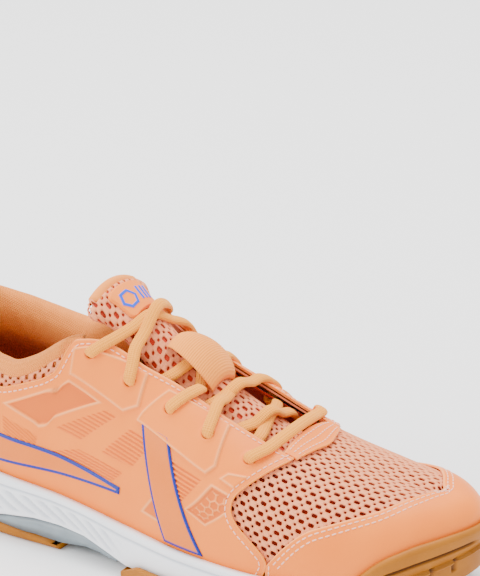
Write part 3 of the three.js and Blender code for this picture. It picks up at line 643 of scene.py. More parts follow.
def clustered(count, length, edge=0.45):
    """Places from 0 to 1 with two close to each end, an edge apart in millimetres."""
    e = edge / length
    return np.concatenate([[0, e, 2 * e], np.linspace(3 * e, 1 - 3 * e, count), [1 - 2 * e, 1 - e, 1]])


def lengths(points, axis):
    """Millimetres walked along one way of a grid of points."""
    steps = np.linalg.norm(np.diff(points, axis=axis), axis=-1)
    return np.insert(np.cumsum(steps, axis=axis), 0, 0, axis=axis)


def laid_flat(points):
    return np.stack([lengths(points, 0), lengths(points, 1)], -1)


def on_side(q, side):
    """A place on the outer side, or its mirror image on the inner one."""
    return q if side == "lateral" else 1 - q


WALL_HEIGHT = 90  # the last's wall at the sides, from the footbed to the ridge


class Patch:
    """A piece of the last's surface between four edges, on the outer side or mirrored to the inner one."""

    def __init__(self, columns, rows, rear, front, low, high, side="lateral", length=120, height=60):
        s, t = grid(clustered(columns, length), clustered(rows, height))
        first, end = edge_value(rear, t), edge_value(front, t)
        self.q = first + (end - first) * s
        low, high = edge_value(low, fold(self.q)), edge_value(high, fold(self.q))
        self.v = low + (high - low) * t
        self.q = on_side(self.q, side)
        self.points, self.normals = last(self.q, self.v), last_normal(self.q, self.v)
        self.uv = laid_flat(self.points)
        across, up = self.uv[..., 0], self.uv[..., 1]
        self.edge = np.minimum.reduce([across, across[-1:] - across, up, up[:, -1:] - up])
        self.x, self.height = self.points[..., 0], up + low * WALL_HEIGHT

    def at(self, offset):
        return self.points + self.normals * np.asarray(offset, float)[..., None]

    def cut(self, name, inside, outside, relief, slot, finish, body="shoe", bevel=0.35, marks=None):
        face = outside + relief - bevel * (1 - smooth(0, 1.0, self.edge)) ** 2
        points, faces = slab(self.at(face), self.at(inside))
        marks = {key: both_faces(one) for key, one in (marks or {}).items()}
        return piece(name, points, faces, body, slot, finish, marks=marks, uv=both_faces(self.uv))


rust_knit = lining_knit("rust_lining", "#B8280C", "#F04A1C")
LINING = (-3.5, -2.7)
q, v = grid(np.linspace(0.345, 0.5, 120), np.linspace(0.02, 1.98, 160))
inner, outer = (on_last(q, v, offset) for offset in LINING)
made = piece(
    "vamp_lining_knit", *slab(outer, inner), "shoe", "rust_lining", rust_knit, uv=both_faces(laid_flat(outer)))
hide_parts("vamp_lining")

PANEL_TOP = [
    (0.036, 0.78), (0.06, 0.72), (0.09, 0.63), (0.12, 0.59), (0.15, 0.585), (0.177, 0.625), (0.186, 0.66),
    (0.189, 0.79), (0.208, 0.81), (0.235, 0.787), (0.289, 0.795), (0.36, 0.795),
]


def panel_top(q):
    return table(PANEL_TOP, q, 0.0022)


for side in ("lateral", "medial"):
    patch = Patch(110, 90, 0.196, 0.341, 0.02, lambda q: panel_top(q) - 0.035, side, 120, 80)
    made = patch.cut(f"quarter_lining_knit_{side}", *LINING, 0.0, "rust_lining", rust_knit)
    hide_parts(f"quarter_lining_{side}")

# ---------------------------------------------------------------- vamp mesh
# An open warp-knit in pale pink, lasted over the rust lining and cut to run in under the panels round it: rows of
# oblong holes with small round ones between them.
PITCH_ALONG, PITCH_ACROSS = 4.8, 4.5
MESH_LAYER = (-1.3, -0.3)
BORDER = np.array([
    (-0.5, -0.5), (-0.25, -0.5), (0, -0.5), (0.25, -0.5), (0.5, -0.5), (0.5, 0), (0.5, 0.5), (0.25, 0.5), (0, 0.5),
    (-0.25, 0.5), (-0.5, 0.5), (-0.5, 0)])
ROUND = np.array([
    (-0.84, -0.78), (-0.48, -1), (0, -1), (0.48, -1), (0.84, -0.78), (1, 0), (0.84, 0.78), (0.48, 1), (0, 1),
    (-0.48, 1), (-0.84, 0.78), (-1, 0)])


def open_mesh_knit(name):
    finish = Finish(name, Sheen_Weight=0.1, Sheen_Roughness=0.4, Specular_IOR_Level=0.15)
    threads = finish.noise(1.0, 3, finish.stretched((0.55, 5.5, 0)))
    cross = finish.noise(1.0, 2, finish.stretched((3.0, 1.2, 0)))
    pale = finish.mix(threads, tint("#E87438"), tint("#FFBC8C"))
    # Painted shade: the hole walls, marked wall, are painted dark rust for the shade inside the holes.
    return finish.dress(
        finish.mix(finish.mark("wall"), finish.mix(cross * 0.25, pale, tint("#F07E48")), tint("#B42C08")),
        0.75, threads + cross * 0.5, 0.2)


def open_mesh(name, place, along, across, keep, body, finish, thick=1.0, big=(1.5, 0.9), small=(0.62, 0.58)):
    """Knitted cells with a hole in each. place(u, w, depth) gives points, with u along the oblong holes."""
    cell = np.array([PITCH_ALONG, PITCH_ACROSS / 2])
    rows = np.arange(math.floor(across[0] / cell[1]), math.ceil(across[1] / cell[1]) + 1)
    columns = np.arange(math.floor(along[0] / cell[0]), math.ceil(along[1] / cell[0]) + 1)
    i, j = (a.ravel() for a in grid(columns, rows))
    centre = np.stack([(i + 0.5 * (j % 2)) * cell[0], j * cell[1]], -1)
    kept = keep(centre[:, 0], centre[:, 1])
    centre, odd = centre[kept], (j[kept] % 2)[:, None, None]
    size = np.where(odd == 1, np.array(small), np.array(big))
    border = centre[:, None] + BORDER * cell
    hole = centre[:, None] + ROUND * size
    middle = hole + (border - hole) * 0.45
    codes = np.round(border * 1000).astype(int).reshape(-1, 2)
    found, inverse = np.unique(codes, axis=0, return_inverse=True)
    inverse = inverse.ravel()
    found = found / 1000
    n, cells = len(found), len(centre)
    narrow = centre[:, None] + ROUND * size * 0.9
    flat = [found, found, *(a.reshape(-1, 2) for a in (middle, hole, narrow))]
    depths = [0.12, thick, -0.05, 0.25, thick]
    points = np.vstack([place(uv[:, 0], uv[:, 1], np.full(len(uv), depth)) for uv, depth in zip(flat, depths)])
    front = inverse.reshape(cells, 12)
    ring = [np.arange(cells * 12).reshape(cells, 12) + 2 * n + k * cells * 12 for k in range(3)]

    def band(a, b):
        return np.stack([a, np.roll(a, -1, 1), np.roll(b, -1, 1), b], -1).reshape(-1, 4)

    faces = [band(front, ring[0]), band(ring[0], ring[1]), band(ring[1], ring[2]), band(ring[2], front + n)]
    edges = np.stack([front, np.roll(front, -1, 1)], -1).reshape(-1, 2)
    _, first, counts = np.unique(np.sort(edges, 1), axis=0, return_index=True, return_counts=True)
    rim = edges[first[counts == 1]]
    faces.append(np.stack([rim[:, 1], rim[:, 0], rim[:, 0] + n, rim[:, 1] + n], -1))
    # The hole walls get the painted shade.
    wall = np.concatenate([np.zeros(2 * n), np.repeat([0, 0.25, 1], cells * 12)])
    return piece(
        name, points, np.vstack(faces), body, "open_mesh", finish, marks={"wall": wall}, uv=np.vstack(flat))


def grid_at(tables, rows, columns, a, b):
    """Values between the nodes of a table, at fractional rows a and columns b."""
    a, b = np.clip(a, 0, rows - 1.001), np.clip(b, 0, columns - 1.001)
    i, j = a.astype(int), b.astype(int)
    f, g = (a - i)[:, None], (b - j)[:, None]
    near, far = (tables[i, k] * (1 - f) + tables[i + 1, k] * f for k in (j, j + 1))
    return near * (1 - g) + far * g


def vamp_table():
    """The vamp laid flat: a node each millimetre along the shoe and across it, from the ridge."""
    xs, vs, qs = np.arange(166, 260, 1.0), np.linspace(0.08, 1, 93), np.linspace(0.24, 0.5, 521)
    outer, inner = (
        np.stack([np.interp(xs, np.maximum.accumulate(last(on_side(qs, side), v)[:, 0]), qs) for v in vs], -1)
        for side in ("lateral", "medial"))
    q = np.hstack([outer, inner[:, -2::-1]])
    v = np.tile(np.concatenate([vs, 2 - vs[-2::-1]]), (len(xs), 1))
    points = last(q, v)
    w = lengths(points, 1)
    w -= w[:, [len(vs) - 1]]
    even = np.arange(-78, 79, 1.0)
    q, v = (np.array([np.interp(even, w[k], a[k]) for k in range(len(xs))]) for a in (q, v))
    return xs, even, np.concatenate([last(q, v), last_normal(q, v), q[..., None], v[..., None]], -1)


vamp_x, vamp_w, vamp_nodes = vamp_table()


def vamp_along(u):
    return u * 0.94 + 200


def vamp_values(u, w):
    return grid_at(vamp_nodes, len(vamp_x), len(vamp_w), vamp_along(u) - vamp_x[0], w - vamp_w[0])


def vamp_place(u, w, depth):
    found = vamp_values(u, w)
    return found[:, :3] + found[:, 3:6] * (MESH_LAYER[1] - depth)[:, None]


GUARD_TOP = [
    (0.352, 0.06), (0.361, 0.19), (0.378, 0.385), (0.406, 0.515), (0.423, 0.59), (0.442, 0.72), (0.47, 0.86),
    (0.5, 0.93),
]
WINDOW_REAR = [(0, 0.352), (0.2, 0.36), (0.33, 0.345), (0.42, 0.33), (0.55, 0.327), (0.75, 0.338), (1, 0.352)]


def window_rear(share):
    return table(WINDOW_REAR, share, 0.05)


def guard_top(q):
    return table(GUARD_TOP, q, 0.006)


def vamp_keep(u, w):
    found = vamp_values(u, w)
    q, v = found[:, 6], found[:, 7]
    v = np.minimum(v, 2 - v)
    inside = v > guard_top(q) - 0.05
    behind = q > np.where(v < 0.8, window_rear(v / 0.795) - 0.012, 0.347)
    return inside & behind & (vamp_along(u) < 254.4)


knit = open_mesh_knit("open_mesh")
vamp_mesh = open_mesh("vamp_mesh_knit", vamp_place, (-36, 56), (-70, 70), vamp_keep, "shoe", knit)
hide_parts("vamp_mesh")

# ---------------------------------------------------------------- toe guard
# Smooth peach synthetic leather wrapped round the toe over the mesh. It is sewn down along its upper edge with two
# rows of thread, and its lower edge is lasted under with the rest.
PANEL = (0.2, 1.4)


def synthetic_leather(name, low="#F47A10", high="#FF8822"):
    finish = Finish(name, Specular_IOR_Level=0.24)
    cloudy = finish.noise(0.06, 3)
    grain = finish.node("TexVoronoi", {"feature": "SMOOTH_F1"}, inputs={"Vector": finish.place(), "Scale": 1.7})
    fine = finish.noise(3.5, 3)
    # The edge mark is painted paler near the cut edges, and with painted highlight where the pressed outlines catch
    # the light.
    pale_edge_and_highlight = finish.mark("edge")
    base = finish.mix(cloudy, tint(low), tint(high))
    # Painted shade: the pressed hollows are painted a darker orange.
    base = finish.mix(finish.mark("valley_shade") * 0.5, base, tint("#C04A04"))
    # Painted shade: the eyelet holes, marked hole, are painted near black.
    base = finish.mix(finish.mark("hole"), finish.mix(pale_edge_and_highlight, base, tint("#FFB270")), tint("#2E0C04"))
    return finish.dress(base, 0.36 + fine * 0.14 + cloudy * 0.08, grain * 0.7 + fine * 0.5, 0.05)


def pale_near_edge(distance, most=0.5, wide=1.0):
    """How pale the leather is near a cut edge."""
    return most * (1 - smooth(0.2, wide, distance))


def tube(name, paths, radius, slot, finish, body="shoe", sides=8, sunk=0.5):
    """Thin round edging along paths of (points, normals), joined in one piece."""
    points, faces, count = [], [], 0
    angle = np.arange(sides) / sides * 2 * np.pi
    for line, normals in paths:
        along = unit(np.gradient(line, axis=0))
        side = unit(np.cross(normals, along))
        up = np.cross(along, side)
        from_end = np.minimum(np.arange(len(line)), np.arange(len(line))[::-1])
        ends = np.minimum(1, 0.35 + from_end * 0.35)[:, None, None]
        ring = (line + normals * radius * (1 - sunk))[:, None] + radius * ends * (
            side[:, None] * np.cos(angle)[:, None] + up[:, None] * np.sin(angle)[:, None])
        points.append(ring.reshape(-1, 3))
        faces += (grid_faces(len(line), sides, closed=True) + count).tolist()
        faces.append(range(count, count + sides)[::-1])
        count += len(line) * sides
        faces.append(range(count - sides, count))
    return piece(name, np.vstack(points), faces, body, slot, finish)


def evenly(points, *others, step):
    """Points and their companions respaced along their line."""
    at = lengths(points, 0)
    count = max(2, int(round(at[-1] / step)) + 1)
    want = np.linspace(0, at[-1], count)
    return [np.stack([np.interp(want, at, a[:, k]) for k in range(a.shape[1])], -1) for a in (points, *others)]


def aside(q, v, distance):
    """A line on the last moved sideways over the surface, to its left seen from outside."""
    points, normals = last(q, v), last_normal(q, v)
    turn = np.cross(normals, unit(np.gradient(points, axis=0))) * distance
    by_q = (last(q + STEP, v) - last(q - STEP, v)) / (2 * STEP)
    by_v = (last(q, v + STEP) - last(q, v - STEP)) / (2 * STEP)
    a, b, c = (by_q**2).sum(-1), (by_q * by_v).sum(-1), (by_v**2).sum(-1)
    e, f = (by_q * turn).sum(-1), (by_v * turn).sum(-1)
    scale = a * c - b * b
    return q + (e * c - b * f) / scale, v + (a * f - b * e) / scale


def on_line(q, v, offset, step=0.8):
    """An even path of points with their normals, off the last by an offset."""
    q, v = np.broadcast_arrays(q, v)
    return evenly(on_last(q, v, offset), last_normal(q, v), step=step)


THREAD_PITCH, THREAD_RADIUS = 2.9, 0.32


def sewn_thread(name):
    finish = Finish(name, Sheen_Weight=0.08, Specular_IOR_Level=0.2)
    twist = finish.noise(3.0, 2)
    pale = finish.mix(twist, tint("#F0A480"), tint("#FFD2BC"))
    # Painted shade: the needle holes are painted dark brown.
    return finish.dress(finish.mix(finish.mark("needle_hole_shade"), pale, tint("#7A2F18")), 0.6, twist, 0.05)


STITCH = [(-0.5, 0.0), (-0.46, 0.6), (-0.36, 0.95), (0, 1.05), (0.36, 0.95), (0.46, 0.6), (0.5, 0.0)]
HOLE_RADIUS, HOLE_DEEP = 0.42, 0.12


def stitches(name, paths, finish, body="shoe", pitch=THREAD_PITCH):
    """Single stitches of thread along paths of (points, normals), with a needle hole between each two, painted dark
    as painted shade.
    """
    around = 6
    turns = [(math.cos(w), math.sin(w)) for w in np.arange(around) / around * 2 * np.pi]
    shape = np.array([(a, r * c, r * s) for a, r in STITCH for c, s in turns])
    disc = np.array([(0, 0, 0.02)] + [(HOLE_RADIUS * c, HOLE_RADIUS * s, -HOLE_DEEP) for c, s in turns])
    thread_faces = grid_faces(len(STITCH), around, closed=True)
    disc_faces = np.array([(0, 1 + k, 1 + (k + 1) % around, 1 + (k + 1) % around) for k in range(around)])
    points, faces, painted_shade, count = [], [], [], 0
    for line, normals in paths:
        line, normals = evenly(line, normals, step=pitch)
        along = unit(np.gradient(line, axis=0))
        side = np.cross(normals, along)
        middle, facing = (line[1:] + line[:-1]) / 2, unit(normals[1:] + normals[:-1])
        chord = unit(line[1:] - line[:-1])
        lateral = unit(np.cross(facing, chord))
        lift = facing * THREAD_RADIUS * 0.25
        threads = (middle + lift)[:, None] + chord[:, None] * shape[:, 0:1] * pitch * 0.74 + THREAD_RADIUS * (
            lateral[:, None] * shape[:, 1:2] + facing[:, None] * shape[:, 2:3])
        holes = line[:, None] + sum(
            way[:, None] * disc[:, k:k + 1] for k, way in enumerate((along, side, normals)))
        for block, block_faces, shade in ((threads, thread_faces, 0.0), (holes, disc_faces, 1.0)):
            starts = count + np.arange(len(block)) * block.shape[1]
            faces.append((block_faces[None] + starts[:, None, None]).reshape(-1, 4))
            points.append(block.reshape(-1, 3))
            painted_shade.append(np.full(len(points[-1]), shade))
            count += len(points[-1])
    faces = [tuple(dict.fromkeys(face)) for face in np.vstack(faces).tolist()]
    return piece(name, np.vstack(points), faces, body, "open_mesh", finish, marks={"needle_hole_shade": np.concatenate(painted_shade)})


leather = synthetic_leather("synthetic_leather")
thread = sewn_thread("sewn_thread")
guard = Patch(260, 60, 0.358, 0.642, 0.02, guard_top, length=190, height=35)
made = guard.cut(
    "toe_guard_leather", *PANEL, 0.0, "synthetic_leather", leather, marks={"edge": pale_near_edge(guard.edge, 0.6, 1.1)})
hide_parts("toe_guard")
rim_q = np.linspace(0.3605, 0.6395, 500)
rim_v = guard_top(fold(rim_q))
guard_rows = [on_line(*aside(rim_q, rim_v, -inset), PANEL[1] - 0.05) for inset in (2.0, 4.4)]
guard_rows.append(on_line(0.3605, np.linspace(0.16, 0.03, 40), PANEL[1] - 0.05))
stitches("toe_guard_stitching", guard_rows, thread)

# ---------------------------------------------------------------- quarters
# Peach synthetic leather from the heel to the mesh window, one each side, pressed with raised plates at the
# eyelets, ribbed fields and a honeycomb, punched for the lace, and sewn along the collar, throat and window.


def inside_by(points, x, y):
    """Distance inside a convex outline, below zero outside it."""
    points = np.array(points, float)
    after = np.roll(points, -1, 0)
    way = after - points
    next_way = np.roll(way, -1, 0)
    turn = np.sign((way[:, 0] * next_way[:, 1] - way[:, 1] * next_way[:, 0]).sum())
    deep = np.full_like(x, 1e9)
    for (ax, ay), (bx, by) in zip(points, after):
        size = math.hypot(bx - ax, by - ay)
        deep = np.minimum(deep, turn * ((bx - ax) * (y - ay) - (by - ay) * (x - ax)) / size)
    return deep


def ribs(x, height, pitch=1.9, lean=-0.1):
    """Narrow ribs along the shoe, from 0 between them to 1 on top."""
    return (0.5 + 0.5 * np.cos(2 * np.pi * (height - lean * (x - 100)) / pitch)) ** 1.5


# Outlines of the pressed shapes, forward of the back of the last and up round the wall from the footbed.
REAR_PLATE = [(92, 84), (92, 69.5), (121.3, 62.2), (128.3, 67), (127.5, 84)]
FRONT_PLATE = [(135.5, 80), (130.3, 65.6), (127.8, 61.3), (167.4, 53.2), (171, 58.3), (169, 80)]
COLLAR_RECESS = [(92, 65.6), (107.5, 61.6), (78, 43.4), (61, 46.8)]
RIBBED = [
    [(113.4, 60.6), (119, 58.8), (101.1, 41.5), (86, 42.8)],
    [(126.5, 56.8), (139.5, 55), (130, 40), (112, 40.5)],
    [(150.4, 53), (166.5, 50), (158.1, 36), (142.7, 37.6)],
    [(100, 37.4), (126, 36), (117, 23), (86, 24.5), (82, 30)],
]
HEEL_RIBBED = [(58, 41), (78, 38), (76, 26), (60, 24)]
CELL = 4.2
HONEYCOMB = [(171.6, 49), (184.6, 46.4), (171.5, 28), (161.4, 33)]
EYELET_WING = [(174, 53.5), (177, 57.5), (193, 60.5), (184.5, 50)]
LOW_PLATE = [(143, 31), (158, 29.5), (152, 16.5), (136, 18)]


def honeycomb(x, y, size):
    """Distance from the walls of a honeycomb."""
    x, y = x / size, y / size
    nearest = np.full(x.shape, 9.0)
    second = nearest.copy()
    for shift_x, shift_y in ((0, 0), (0.5, math.sqrt(3) / 2)):
        for dx in (-1, 0, 1):
            for dy in (-1, 0, 1):
                cx = np.round(x - shift_x) + dx + shift_x
                cy = (np.round((y - shift_y) / math.sqrt(3)) + dy) * math.sqrt(3) + shift_y
                gap = np.hypot(x - cx, y - cy)
                second = np.minimum(second, np.maximum(nearest, gap))
                nearest = np.minimum(nearest, gap)
    return (second - nearest) * size


def pressed(x, height):
    """The pressed relief, and where its raised outlines catch the light."""
    relief, light = np.zeros_like(x), np.zeros_like(x)

    def welt(deep, rise, wide=0.5):
        nonlocal relief, light
        line = np.exp(-((deep / wide) ** 2))
        relief, light = relief + rise * line, np.maximum(light, line)

    for plate, rise in ((REAR_PLATE, 0.85), (FRONT_PLATE, 0.85), (EYELET_WING, 0.7), (LOW_PLATE, -0.5)):
        deep = inside_by(plate, x, height)
        relief += rise * smooth(-0.4, 0.5, deep)
        welt(deep - 0.5, 0.3)
    deep = inside_by(COLLAR_RECESS, x, height)
    relief -= smooth(-0.2, 0.8, deep) * (0.55 + 0.4 * np.clip((x - 62) / 36, 0, 1))
    welt(deep + 0.5, 0.4)
    for field in RIBBED:
        deep = inside_by(field, x, height)
        relief += smooth(0.1, 0.7, deep) * (0.8 * ribs(x, height) - 0.45)
    deep = inside_by(HEEL_RIBBED, x, height)
    relief += smooth(0.1, 0.7, deep) * (0.6 * ribs(x, height, 1.7, -0.43) - 0.35)
    deep = inside_by(HONEYCOMB, x, height)
    walls = np.exp(-((honeycomb(x - 166, height - 34, CELL) / 0.5) ** 2)) * smooth(1.2, 2.2, deep)
    relief += smooth(-0.1, 0.4, deep) * (0.65 * walls - 0.5)
    light = np.maximum(light, walls)
    welt(deep + 0.4, 0.45)
    return relief, light


EYELETS = [(0.203, 0.745), (0.232, 0.695), (0.264, 0.67), (0.295, 0.668), (0.327, 0.665)]
EYELET_RADIUS, EYELET_DEEP = 2.7, 1.15
QUARTER_FOOT, THROAT_REAR = 0.015, 0.1895
BEAD_RADIUS = 0.5
gold_edge = Finish("gold_edge", Coat_Weight=0.2, Specular_IOR_Level=0.5)
gold_edge.dress(
    gold_edge.mix(gold_edge.noise(0.5), tint("#E87A00"), tint("#FF9000")), 0.4 + gold_edge.noise(2.0) * 0.15)

for side in ("lateral", "medial"):
    quarter = Patch(420, 230, 0.036, window_rear, QUARTER_FOOT, panel_top, side, 220, 75)
    flat_edge = smooth(2.2, 3.4, quarter.edge)
    relief, light = (a * flat_edge for a in pressed(quarter.x, quarter.height))
    # Painted shade in the pressed hollows.
    valley_shade = smooth(0.02, 0.5, -relief)
    # hole marks the eyelets, which are also painted near black as painted shade.
    hole = np.zeros_like(relief)
    for q, v in EYELETS:
        away = np.linalg.norm(quarter.points - last(on_side(q, side), v), axis=-1)
        hole = np.maximum(hole, 1 - smooth(EYELET_RADIUS - 0.9, EYELET_RADIUS, away))
        relief += 0.18 * np.exp(-(((away - EYELET_RADIUS - 0.6) / 0.7) ** 2))
    relief -= EYELET_DEEP * hole
    # The edge mark takes painted highlight along the pressed outlines as well as the paler cut edges.
    marks = {
        "edge": np.maximum(pale_near_edge(quarter.edge), 0.7 * light), "hole": smooth(0.3, 0.8, hole), "valley_shade": valley_shade}
    made = quarter.cut(f"quarter_leather_{side}", *PANEL, relief, "synthetic_leather", leather, marks=marks)
    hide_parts(f"quarter_{side}")

    collar_q, throat_q = np.linspace(0.037, THROAT_REAR, 400), np.linspace(THROAT_REAR, 0.351, 400)
    share = np.linspace(0.03, 0.99, 300)
    window_q = window_rear(share)
    window_v = QUARTER_FOOT + (panel_top(window_q) - QUARTER_FOOT) * share
    collar_line, throat_line = (collar_q, panel_top(collar_q)), (throat_q, panel_top(throat_q))
    rows = []
    for line, inset in ((collar_line, -2.2), (throat_line, -2.3), ((window_q, window_v), 2.4)):
        q, v = aside(*line, inset)
        rows.append(on_line(on_side(q, side), v, PANEL[1] + 0.02))
    stitches(f"quarter_stitching_{side}", rows, thread)
    piped = [collar_line, (window_q, window_v)] + [throat_line] * (side == "medial")
    beads = [on_line(on_side(q, side), v, PANEL[1] - BEAD_RADIUS) for q, v in piped]
    tube(f"quarter_gold_edge_{side}", beads, BEAD_RADIUS, "orange_film", gold_edge)

# ---------------------------------------------------------------- vamp strap
# A band of the same leather over the vamp at the foot of the throat, which joins the two quarters there. Three
# rows of stitches hold it, and gold piping edges it at the front.
STRAP_LOW, STRAP_HIGH = 0.795, 1.205
STRAP_FACE = PANEL[1] + 0.1


def strap_at(place, v):
    """The strap's q from its rear edge, at 0, to its front edge, at 1."""
    share = (v - STRAP_LOW) / (STRAP_HIGH - STRAP_LOW)
    front = table([(0, 0.353), (0.5, 0.3625), (1, 0.353)], share, 0.08)
    rear = table([(0, 0.343), (0.5, 0.3395), (1, 0.343)], share, 0.08)
    return rear + (front - rear) * place


s, v = grid(clustered(40, 12), np.linspace(STRAP_LOW, STRAP_HIGH, 150))
q = strap_at(s, v)
across = lengths(last(q, v), 0)
edge = np.minimum(across, across[-1:] - across)
face = STRAP_FACE - 0.35 * (1 - smooth(0, 1, edge)) ** 2
strap = piece(
    "vamp_strap_leather", *slab(on_last(q, v, face), on_last(q, v, PANEL[0])), "shoe", "synthetic_leather", leather,
    marks={"edge": both_faces(pale_near_edge(edge))})
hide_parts("vamp_strap")
v = np.linspace(0.82, 1.18, 120)
strap_rows = [on_line(strap_at(place, v), v, STRAP_FACE) for place in (0.2, 0.5, 0.8)]
stitches("vamp_strap_stitching", strap_rows, thread, pitch=2.2)
tube("vamp_strap_gold_edge", [on_line(strap_at(1, v), v, STRAP_FACE - 0.5)], BEAD_RADIUS, "orange_film", gold_edge)

# ---------------------------------------------------------------- side films
# A slanted saddle panel and a low dart of orange pearly film, each heat-pressed on the quarter with a blue
# line printed round its edge.
FILM = (1.45, 2.3)


def pearly_film(name):
    finish = Finish(name, Coat_Weight=0.08, Coat_Roughness=0.3, Specular_IOR_Level=0.3)
    flakes = finish.node("TexVoronoi", inputs={"Vector": finish.place(), "Scale": 3.2})
    cloudy = finish.noise(0.05, 3)
    body = finish.mix(cloudy, tint("#D46400"), tint("#E87406"))
    body = finish.mix(flakes * 0.25, body, tint("#FF9020"))
    line = finish.mix(finish.noise(0.8), tint("#0A1E7C"), tint("#102E9C"))
    return finish.dress(finish.mix(finish.mark("outline"), body, line), 0.34 + flakes * 0.12, flakes, 0.03)


def above_rim(q):
    """The v just above the foam's top edge."""
    return wall_at(np.atleast_1d(q), rim_top(np.atleast_1d(q)) + 1.2)


film = pearly_film("orange_film")
LINE_WIDTH = 1.5
FILMS = {
    "saddle_panel": dict(
        columns=60, rows=90, rear=[(0, 0.285), (1, 0.25)], front=[(0, 0.315), (1, 0.272)], low=above_rim, high=0.56,
        length=24, height=45),
    "heel_dart": dict(
        columns=150, rows=44, rear=0.1, front=0.245, low=[(0.1, 0.2), (0.245, 0.22)],
        high=[(0.1, 0.42), (0.245, 0.25)], length=100, height=12),
}
for side in ("lateral", "medial"):
    for name, edges in FILMS.items():
        patch = Patch(side=side, **edges)
        outline = 1 - smooth(LINE_WIDTH - 0.12, LINE_WIDTH + 0.12, patch.edge)
        rise = -0.18 * np.exp(-(((patch.edge - LINE_WIDTH) / 0.35) ** 2))
        made = patch.cut(
            f"{name}_film_{side}", *FILM, rise, "orange_film", film, bevel=0.45, marks={"outline": outline})
        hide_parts(f"{name}_{side}")

# ---------------------------------------------------------------- collar mesh band
# A strip of the same open knit round the heel, let in between the quarters' top edge and the padded collar and
# sewn to both.
COLLAR_TOP = [
    (0, 0.84), (0.05, 0.83), (0.1, 0.785), (0.13, 0.745), (0.157, 0.705), (0.172, 0.735), (0.183, 0.79),
    (0.19, 0.81),
]
HEEL_WALL = 98.0  # the wall's height round the heel, from the footbed to the ridge


def collar_top(q):
    return table(COLLAR_TOP, fold(q), 0.004)


band_q = np.linspace(-0.19, 0.19, 1201)
band_w = lengths(last(band_q, 0.68), 0)
band_w -= band_w[600]


def band_place(u, w, depth):
    q = np.interp(w, band_w, band_q)
    return on_last(q, u / HEEL_WALL, MESH_LAYER[1] - depth)


def band_keep(u, w):
    q, v = np.interp(w, band_w, band_q), u / HEEL_WALL
    low = np.where(fold(q) > 0.036, panel_top(fold(q)) - 0.04, 0.72)
    return (v > low) & (v < collar_top(q) - 0.035) & (abs(w) < band_w[-1] - 4)


band = open_mesh(
    "collar_mesh_knit", band_place, (48, 86), (-130, 130), band_keep, "shoe", knit, big=(1.35, 0.85))
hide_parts("collar_mesh")

# ---------------------------------------------------------------- padded collar
# Fine peach knit over soft foam, turned over the top edge and run down inside to the footbed, where it is lasted
# under with the lining. It is painted darker deep inside the shoe, as painted shade, and thins out towards the throat
# under the quarters.


def fine_knit(name):
    finish = Finish(name, Sheen_Weight=0.12, Sheen_Roughness=0.4, Specular_IOR_Level=0.15)
    along, up = finish.split(finish.stretched((5.4, 5.4, 0)))
    loops = (along + (up * 0.5).sine() * 1.4).sine() * up.sine()
    fine = finish.noise(2.5, 3)
    speckle = loops * 0.3 + fine * 0.6
    outside = finish.mix(speckle, tint("#E8842C"), tint("#FFA656"))
    # Painted shade: the knit is painted dark rust deep inside the shoe.
    inside = finish.mix(speckle, tint("#8A2A08"), tint("#BE5218"))
    return finish.dress(finish.mix(finish.mark("deep"), outside, inside), 0.8, loops + fine * 0.8, 0.14)


collar_finish = fine_knit("collar_knit")


# The section from outside over the top and down inside: v from the collar's top, and millimetres off the last.
COLLAR_SECTION = [
    (-0.075, -0.35), (-0.055, 0.55), (-0.03, 1.15), (-0.008, 0.9), (0.004, -0.6), (0.004, -2.6), (-0.004, -4.8),
    (-0.025, -7.0), (-0.06, -9.0), (-0.11, -9.8), (-0.17, -9.4), (-0.23, -7.2), (-0.29, -5.2), (-0.35, -3.9)]
LINING_BACK = [(-0.36, -2.8), (-0.25, -2.4), (-0.12, -1.9), (-0.08, -1.5)]
UNDER_PANELS, COLLAR_FOOT = -0.6, 0.02
COLLAR_END = 0.194


def collar_section(q, places):
    """v and offset round the collar's section, each at a share of its way."""
    count, top = len(q), collar_top(q)[:, None]
    padding = (1 - 0.574 * smooth(0.15, 0.187, fold(q)))[:, None]
    front, back = np.array(COLLAR_SECTION), np.array(LINING_BACK)
    offset = front[:, 1] - UNDER_PANELS
    offset = UNDER_PANELS + offset * np.where(offset < 0, padding, 1)
    offset = np.maximum(offset, np.where(front[:, 0] <= -0.29, front[:, 1], offset))
    offset = offset - np.maximum(offset - UNDER_PANELS, 0) * smooth(0.182, 0.1875, fold(q))[:, None]
    v = top + front[:, 0]
    down = COLLAR_FOOT + (v[:, -1:] - COLLAR_FOOT) * np.linspace(0.9, 0.0, 6)
    v = np.hstack([v, down, np.full((count, 1), COLLAR_FOOT), top + back[:, 0]])
    offset = np.hstack([
        offset, np.full((count, 6), LINING[0]), np.full((count, 1), -2.8), np.tile(back[:, 1], (count, 1))])
    n = v.shape[1]
    place = places * n
    i = np.floor(place).astype(int)
    f = place - i
    return [spline(*(a[:, (i + k) % n] for k in (-1, 0, 1, 2)), f) for a in (v, offset)]


def tube_faces(columns, rows):
    """Faces of rings of points in a row, closed straight across both ends."""
    cap = cap_faces(rows)
    return np.vstack([grid_faces(columns, rows, closed=True), cap, (cap + (columns - 1) * rows)[:, ::-1]])


def collar_pad():
    q = np.linspace(-COLLAR_END, COLLAR_END, 342)
    v, offset = collar_section(q, np.arange(150) / 150)
    spread = np.broadcast_to(q[:, None], v.shape)
    points = on_last(spread, v, offset)
    ripple = np.sin(points[..., 0] * 0.9 + points[..., 2] * 0.35)
    soft = 0.18 * ripple * smooth(-1, -4, offset) * smooth(-12, -7, offset)
    points = points + last_normal(spread, v) * soft[..., None]
    # deep is the share of painted shade, growing down inside the collar.
    deep = smooth(-8, -30, (v - collar_top(q)[:, None]) * HEEL_WALL) * smooth(-2, -4, offset)
    return points, deep


